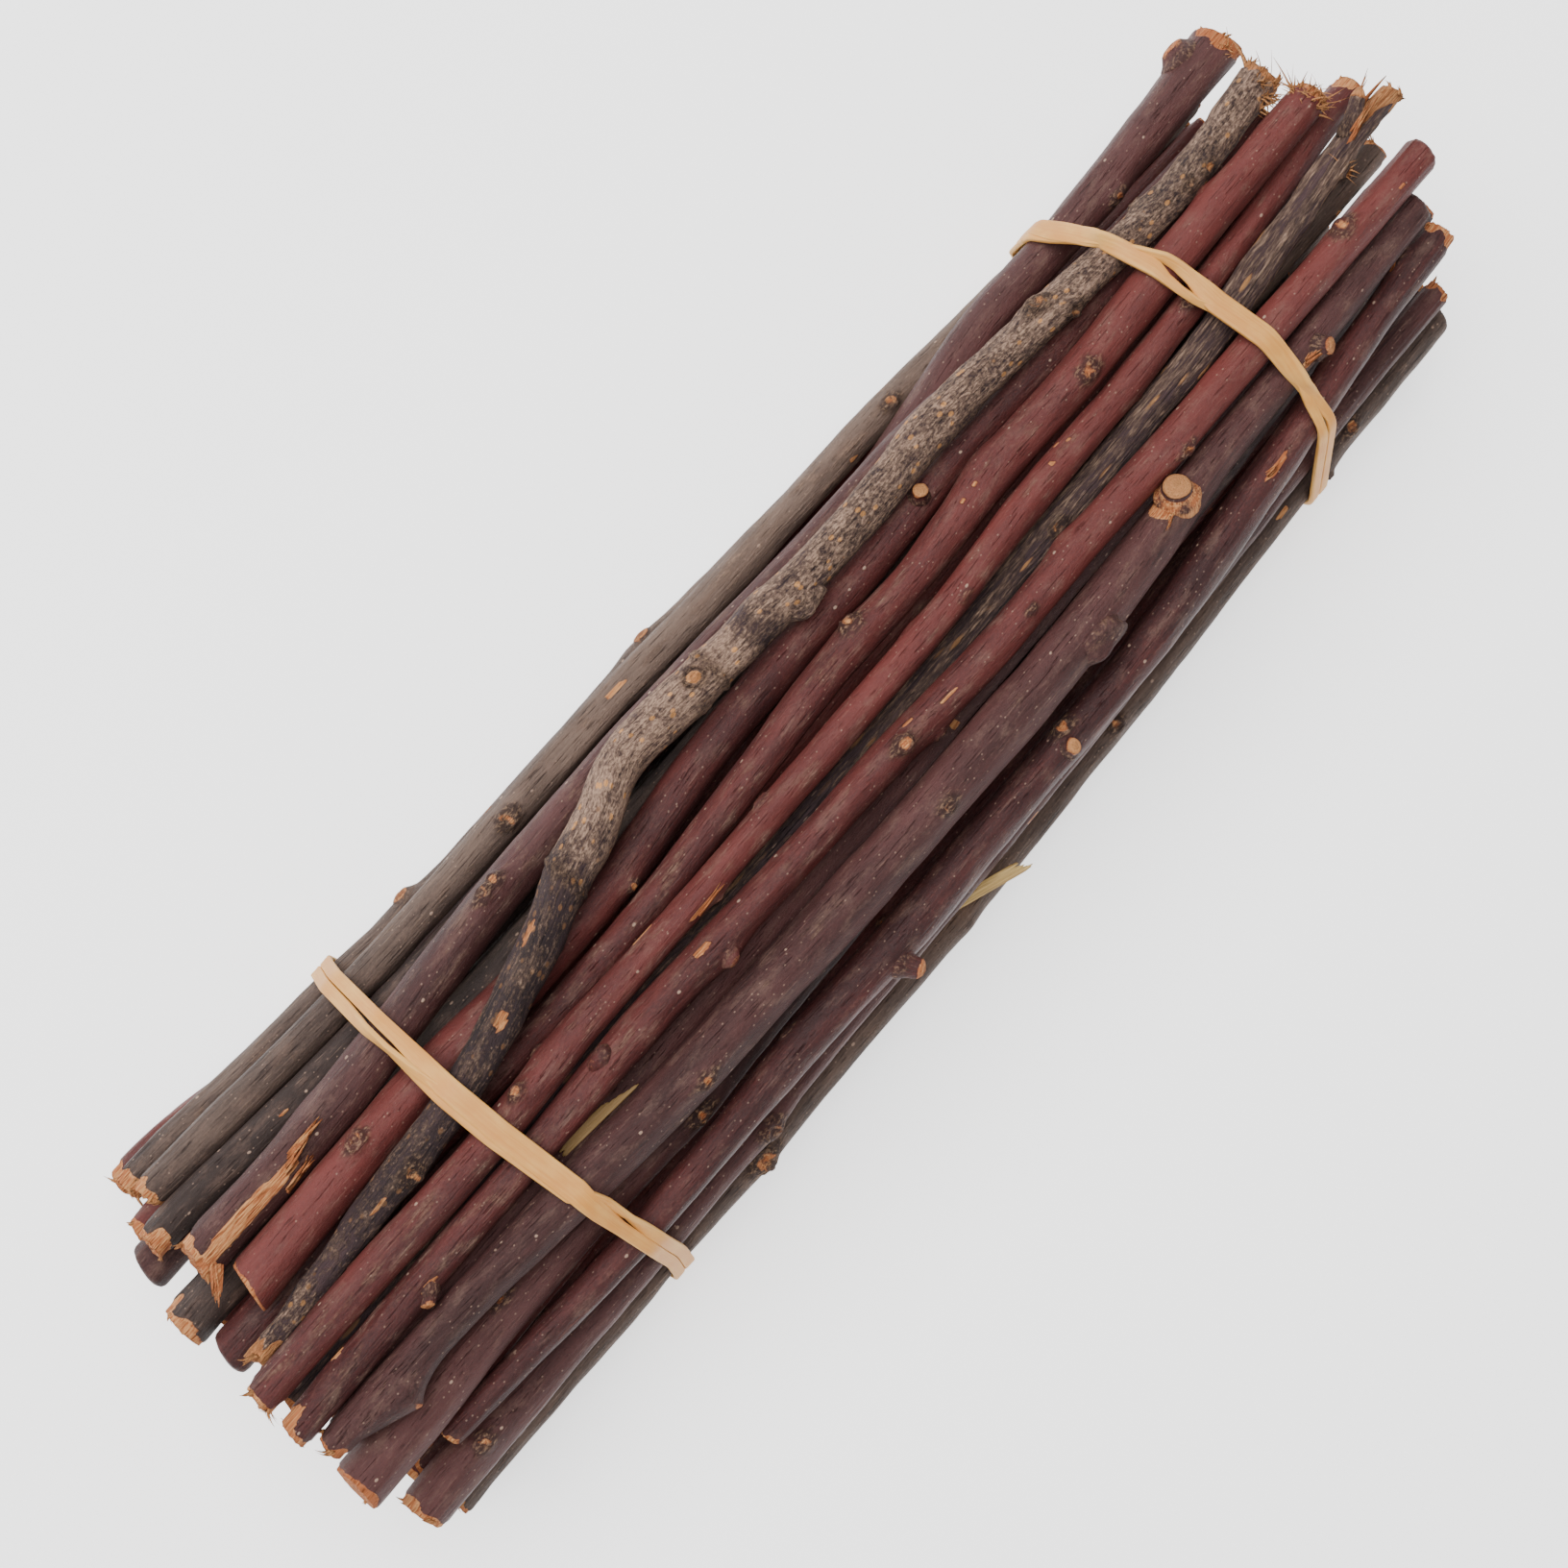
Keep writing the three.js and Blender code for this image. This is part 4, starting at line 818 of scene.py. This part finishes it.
def straw_sliver(surface, node, shade, slant, chance):
    """Flattened fibres side by side from one end of the straw's solid to the other. The sliver is torn to a
    slanting point: each fibre ends further along than its neighbour."""
    points = solid_points(node)
    middle = points.mean(0)
    _, _, ways = np.linalg.svd(points - middle)
    ways[0] *= np.sign(ways[0][0])
    spans = [np.ptp((points - middle) @ way) for way in ways]
    place = np.linspace(-0.42, 0.42, STRAW_FIBRES)[:, None]
    t = np.linspace(0, 1, STRAW_ROWS)[None, :, None]
    starts = chance.uniform(-0.5, -0.44, STRAW_FIBRES)[:, None, None]
    stops = np.linspace(0.48 - slant, 0.48, STRAW_FIBRES) + chance.uniform(-0.06, 0.02, STRAW_FIBRES)
    run = (starts + (stops[:, None, None] - starts) * t) * spans[0]
    wave = 0.12 * noise(run[..., 0] / 2.5, np.arange(STRAW_FIBRES)[:, None] * 0.4, 0.5, 9)[..., None]
    line = middle + run * ways[0] + place[:, None] * spans[1] * ways[1] + wave * ways[2]
    turn = circle(STRAW_SIDES)
    over = np.cross(ways[0], ways[1])
    girth = 0.12 * spans[1] * np.clip((1.02 - t) * 14, 0.15, 1) * np.clip((t + 0.02) * 30, 0.3, 1)
    spoke = np.cos(turn)[:, None] * ways[1] + 0.55 * np.sin(turn)[:, None] * over
    grid = line[:, :, None] + girth[..., None] * spoke
    bark = np.stack(np.broadcast_arrays(run, place[:, None] * 3, np.sin(turn) * 0.3), -1)
    # film is cos^2 of the turn, 1 at the sides of each fibre: painted shade between the fibres. tint carries
    # shade, painted shade over a sliver that lies in the gap between twigs
    surface.add(grid, bark=bark, film=np.cos(turn) ** 2, tint=shade)


# Finishes


class Tone:
    """An output socket of a finish. Sums and products with numbers and other tones add Math nodes."""

    def __init__(self, finish, socket):
        self.finish, self.socket = finish, socket

    def math(self, operation, first, second):
        """One Math node on two values."""
        return self.finish.add("ShaderNodeMath", {"operation": operation}, {0: first, 1: second})

    def __add__(self, other):
        return self.math("ADD", self, other)

    def __sub__(self, other):
        return self.math("SUBTRACT", self, other)

    def __rsub__(self, other):
        return self.math("SUBTRACT", other, self)

    def __mul__(self, other):
        return self.math("MULTIPLY", self, other)

    __radd__, __rmul__ = __add__, __mul__


class Finish:
    """A material and the nodes that make it."""

    def __init__(self, name):
        self.material = bpy.data.materials.new(name)
        self.material.use_nodes = True
        self.tree = self.material.node_tree
        self.tree.nodes.clear()

    def add(self, kind, settings, sockets, out=0):
        """Adds a node: its settings, then a value or a link for each socket. Returns one of its outputs."""
        node = self.tree.nodes.new(kind)
        for key, value in settings.items():
            setattr(node, key, value)
        for key, value in sockets.items():
            if isinstance(value, Tone):
                self.tree.links.new(value.socket, node.inputs[key])
            else:
                node.inputs[key].default_value = value
        return Tone(self, node.outputs[out]) if node.outputs else None

    def painted(self, name, out="Fac"):
        """A paint of the surface."""
        return self.add("ShaderNodeAttribute", {"attribute_name": name}, {}, out)

    def stretched(self, place, by):
        """A place with each of its parts multiplied."""
        return self.add("ShaderNodeVectorMath", {"operation": "MULTIPLY"}, {0: place, 1: by})

    def clouds(self, place, by, detail=4.0, roughness=0.58):
        """Noise from 0 to 1."""
        return self.add("ShaderNodeTexNoise", {}, {
            "Vector": self.stretched(place, by), "Scale": 1.0, "Detail": detail, "Roughness": roughness})

    def cells(self, place, by, out="Distance"):
        """The distance to the nearest scattered point, or that point's own random colour."""
        return self.add("ShaderNodeTexVoronoi", {}, {"Vector": self.stretched(place, by), "Scale": 1.0}, out)

    def step(self, value, low, high):
        """A smooth step from 0 where value is low to 1 where it is high."""
        return self.add("ShaderNodeMapRange", {"interpolation_type": "SMOOTHSTEP"},
                        {"Value": value, "From Min": low, "From Max": high, "To Min": 0.0, "To Max": 1.0})

    def mixed(self, factor, first, second):
        """A colour between two."""
        pair = {k: v if isinstance(v, Tone) else (*v, 1.0) for k, v in ((6, first), (7, second))}
        return self.add("ShaderNodeMix", {"data_type": "RGBA"}, {0: factor, **pair}, 2)

    def coated(self, hue, roughness, height, depth, **plain):
        """The material: its colour, roughness, a bump so many millimetres deep, and plain values."""
        normal = self.add("ShaderNodeBump", {}, {"Strength": 1.0, "Distance": depth * MM, "Height": height})
        shader = self.add("ShaderNodeBsdfPrincipled", {}, {
            "Base Color": hue, "Roughness": roughness, "Normal": normal, **plain})
        self.add("ShaderNodeOutputMaterial", {}, {"Surface": shader})
        return self.material


def bark_finish(slot, tints, shade, dots, roughness, crust, pores, relief, lines):
    """Bark from a deep to a bright colour by fine lines along the twig, grains, slow clouds and the twig's
    own tint. It is dusty in patches, covered by a grey crust where its film is thick, cracked along its
    length, dotted with specks and larger pores in scattered cells, and dark and wrinkled at scars. Bare wood
    shows its fibres and rings."""
    bright, deep, dots = (getattr(tints, name) for name in (shade, shade + "_deep", dots))
    finish = Finish(slot)
    place = finish.painted("bark", "Vector")
    wood, scar = finish.painted("wood"), finish.painted("scar")
    tint, film = finish.painted("tint"), finish.painted("film")
    slow = finish.clouds(place, (0.06, 0.3, 0.3), 3)
    line = finish.clouds(place, (0.3, 5.5, 5.5), 5)
    grain = finish.clouds(place, (2.6, 5.0, 5.0), 5, 0.7)
    tone = 0.5 * tint + 1.2 * slow + lines * line + (1.1 - lines) * grain
    hue = finish.mixed(finish.step(tone, 0.6, 1.7), deep, bright)
    dust = finish.clouds(place, (0.3, 0.8, 0.8), 6)
    hue = finish.mixed(0.32 * finish.step(dust + 0.35 * grain, 0.66, 0.92), hue, tints.film)
    grit, thick = crust
    patch = finish.clouds(place, grit, 9, 0.72)
    cover = finish.step(0.8 * patch + 0.25 * line + 0.4 * dust + 0.42 * film, 0.88, 1.1)
    flake = finish.mixed(finish.step(grain, 0.38, 0.62), tints.film, tints.grey)
    hue = finish.mixed(thick * cover, hue, flake)
    crack = finish.step(finish.clouds(place, (0.3, 5.5, 5.5), 4), 0.39, 0.29)
    hue = finish.mixed(0.6 * lines * crack, hue, deep)
    size, pitch, share, least = pores
    pitches = (1.6, 2.0, 2.0)
    speck = finish.step(finish.cells(place, pitches), 0.2, 0.12)
    speck = speck * finish.step(finish.cells(place, pitches, "Color"), 0.58, 0.64)
    hue = finish.mixed(0.4 * speck + 0.45 * lines * finish.step(line, 0.6, 0.74), hue, tints.dot)
    pitches = (0.75 * pitch, pitch, pitch)
    pore = finish.step(finish.cells(place, pitches) + 0.1 * grain, size + 0.05, 0.6 * size + 0.05)
    pore = pore * finish.step(finish.cells(place, pitches, "Color"), 0.66 - share, 0.7 - share)
    pore = pore * (0.25 + 0.75 * finish.step(film, least, least + 0.2))
    hue = finish.mixed(0.85 * pore, hue, dots)
    wrinkle = finish.clouds(place, (1.6, 3.6, 3.6), 5)
    ridge = finish.mixed(finish.step(wrinkle, 0.48, 0.66), tints.scar, tints.crust)
    hue = finish.mixed(0.75 * scar, hue, ridge)
    flat = finish.stretched(place, (0, 1, 1))
    ring = finish.add("ShaderNodeVectorMath", {"operation": "LENGTH"}, {0: flat}, "Value")
    fibre = finish.clouds(place, (0.6, 6, 6), 4)
    growth = finish.add("ShaderNodeMath", {"operation": "SINE"}, {0: 11.0 * ring + 6.0 * fibre})
    bare = finish.mixed(finish.step(fibre + 0.09 * growth, 0.46, 0.68), tints.wood, tints.wood_pale)
    bare = finish.mixed(finish.step(fibre, 0.46, 0.3), bare, tints.wood_deep)
    bare = finish.mixed(0.75 * finish.step(ring, 0.5, 0.3), bare, tints.wood_deep)
    bare = finish.mixed(0.55 * film, bare, tints.wood_pale)
    hue = finish.mixed(finish.step(wood + 0.35 * fibre, 0.5, 0.75), hue, bare)
    shine = roughness + 0.2 * (cover + scar) + 0.2 * (grain - 0.5)
    height = relief * (0.7 * line + 0.9 * grain + 0.8 * cover - 0.6 * crack) + 0.3 * pore
    height = height + scar * (1.4 * wrinkle) + wood * (2.2 * fibre)
    return finish.coated(hue, shine + wood * (0.85 - shine), height, 0.14, **{"Specular IOR Level": 0.22})


def rubber_finish(settings):
    """Tan rubber with paler clouds and fine lines along it, and a painted highlight that makes it paler at
    its edges and where it is turned on edge.
    """
    finish = Finish("rubber_band")
    place, edge, turned = finish.painted("bark", "Vector"), finish.painted("wood"), finish.painted("film")
    line = finish.clouds(place, (0.12, 5, 5), 4)
    cloud = finish.clouds(place, (0.3, 0.6, 0.6), 3)
    # edge and turned add a painted highlight to the paler clouds and lines
    pale = finish.step(0.9 * cloud + 0.7 * line + 0.22 * edge + 0.2 * turned, 0.6, 1.25)
    hue = finish.mixed(pale, settings.rubber, settings.rubber_pale)
    return finish.coated(hue, 0.42 + 0.25 * line, line + 0.4 * cloud, 0.06, **{"Subsurface Weight": 0.05})


def straw_finish(settings):
    """Pale straw with darker lines along it. Painted shade darkens the sides of its fibres, between them, and
    the whole inner sliver, which lies in the gap between twigs.
    """
    finish = Finish("straw")
    place = finish.painted("bark", "Vector")
    line = finish.clouds(place, (0.15, 5, 5), 5)
    side, shade = finish.painted("film"), finish.painted("tint")
    # side is painted shade at the sides of the fibres, and shade is painted shade over the whole inner sliver
    deep = finish.step(line + 0.15 * side + shade, 0.45, 0.75)
    hue = finish.mixed(deep, settings.straw, settings.straw_deep)
    return finish.coated(hue, 0.5 + 0.2 * line, line, 0.08)


# Operators


class TWIGS_OT_twigs(Operator):
    """Build every twig over its solid, with bark, knots, stubs and torn ends"""

    bl_idname = "twigs.twigs"
    bl_label = "Twigs"

    def execute(self, context):
        scene = context.scene
        finishes = {slot: bark_finish(slot, scene.twig_barks, *look) for slot, look in BARKS.items()}
        for node in sorted(frame["nodes"]):
            if node.startswith("twig_"):
                make_twig(node, scene.twig_sizes, finishes)
        return {"FINISHED"}


class TWIGS_OT_bands(Operator):
    """Lay two flat turns of rubber along each band's solid"""

    bl_idname = "twigs.bands"
    bl_label = "Rubber Bands"

    def execute(self, context):
        settings = context.scene.twig_bands
        rubber = rubber_finish(settings)
        for node in TURNS:
            surface = Surface()
            band_turns(surface, node, settings)
            surface.piece(node.title(), node, "rubber_band", rubber)
        return {"FINISHED"}


class TWIGS_OT_straw(Operator):
    """Build the slivers of straw from flattened fibres"""

    bl_idname = "twigs.straw"
    bl_label = "Straw"

    def execute(self, context):
        straw = straw_finish(context.scene.twig_bands)
        # The inner sliver's shade of 0.4 is painted shade for the dark gap between twigs where it lies
        for node, shade, slant in (("straw_inner", 0.4, 0.36), ("straw_outer", 0.0, 0.06)):
            surface = Surface()
            straw_sliver(surface, node, shade, slant, np.random.default_rng(2))
            surface.piece(node.title(), node, "straw", straw)
        return {"FINISHED"}


class TWIGS_OT_stage(Operator):
    """Lay the floor and set up the soft lights and the camera"""

    bl_idname = "twigs.stage"
    bl_label = "Stage"

    def execute(self, context):
        scene, settings = context.scene, context.scene.twig_stage
        half = settings.floor_size / 2
        mesh = bpy.data.meshes.new("Floor")
        corners = [(-half, -half, 0), (half, -half, 0), (half, half, 0), (-half, half, 0)]
        mesh.from_pydata(corners, [], [(0, 1, 2, 3)])
        finish = Finish("floor")
        grain = finish.clouds(finish.add("ShaderNodeTexCoord", {}, {}, "Object"), (30, 30, 30))
        hue = finish.mixed(0.05 * grain, settings.floor, WHITE[:3])
        glow = {"Emission Color": WHITE, "Emission Strength": settings.floor_glow}
        mesh.materials.append(finish.coated(hue, 0.9, grain, 0.01, **glow))
        floor = bpy.data.objects.new("Floor", mesh)
        scene.collection.objects.link(floor)
        world = bpy.data.worlds.new("Studio")
        world.use_nodes = True
        sky = world.node_tree.nodes["Background"].inputs
        sky["Strength"].default_value, sky["Color"].default_value = settings.sky, WHITE
        scene.world = world
        lamp = bpy.data.lights.new("Key", "AREA")
        lamp.energy, lamp.size = settings.key, LAMP_SIZE
        key = bpy.data.objects.new("Key", lamp)
        key.matrix_world = aimed(LAMP_PLACE * MM, np.zeros(3), [1.0, 0.0])
        scene.collection.objects.link(key)
        lens = bpy.data.cameras.new("Camera")
        lens.sensor_width, lens.sensor_fit = SENSOR, "HORIZONTAL"
        lens.lens = SENSOR * np.linalg.norm(EYE - LOOK) / PICTURE_ACROSS
        lens.clip_start, lens.clip_end = 0.01, 10
        camera = bpy.data.objects.new("Camera", lens)
        turn = math.radians(PICTURE_TURN)
        camera.matrix_world = aimed(EYE * MM, LOOK * MM, [math.cos(turn), -math.sin(turn)])
        scene.collection.objects.link(camera)
        scene.camera = camera
        return {"FINISHED"}


class TWIGS_PT_bundle(Panel):
    """The settings and steps of the bundle"""

    bl_label = "Bundle of Twigs"
    bl_idname = "TWIGS_PT_bundle"
    bl_space_type = "VIEW_3D"
    bl_region_type = "UI"
    bl_category = "Twigs"

    def draw(self, context):
        for group in GROUPS:
            settings = getattr(context.scene, group)
            for key in settings.__annotations__:
                self.layout.prop(settings, key)
        for operator in OPERATORS:
            self.layout.operator(operator.bl_idname)


GROUPS = {
    "twig_sizes": TwigSettings, "twig_barks": BarkSettings,
    "twig_bands": BandSettings, "twig_stage": StageSettings}
OPERATORS = (TWIGS_OT_twigs, TWIGS_OT_bands, TWIGS_OT_straw, TWIGS_OT_stage)
CLASSES = (*GROUPS.values(), *OPERATORS, TWIGS_PT_bundle)


def register():
    """Adds the classes and the scene's settings."""
    for kind in CLASSES:
        bpy.utils.register_class(kind)
    for name, kind in GROUPS.items():
        setattr(bpy.types.Scene, name, PointerProperty(type=kind))


def unregister():
    """Takes away what register added."""
    for name in GROUPS:
        delattr(bpy.types.Scene, name)
    for kind in reversed(CLASSES):
        bpy.utils.unregister_class(kind)


def main():
    """Builds the bundle and its stage."""
    register()
    bpy.ops.twigs.twigs()
    bpy.ops.twigs.bands()
    bpy.ops.twigs.straw()
    bpy.ops.twigs.stage()


if __name__ == "__main__":
    main()
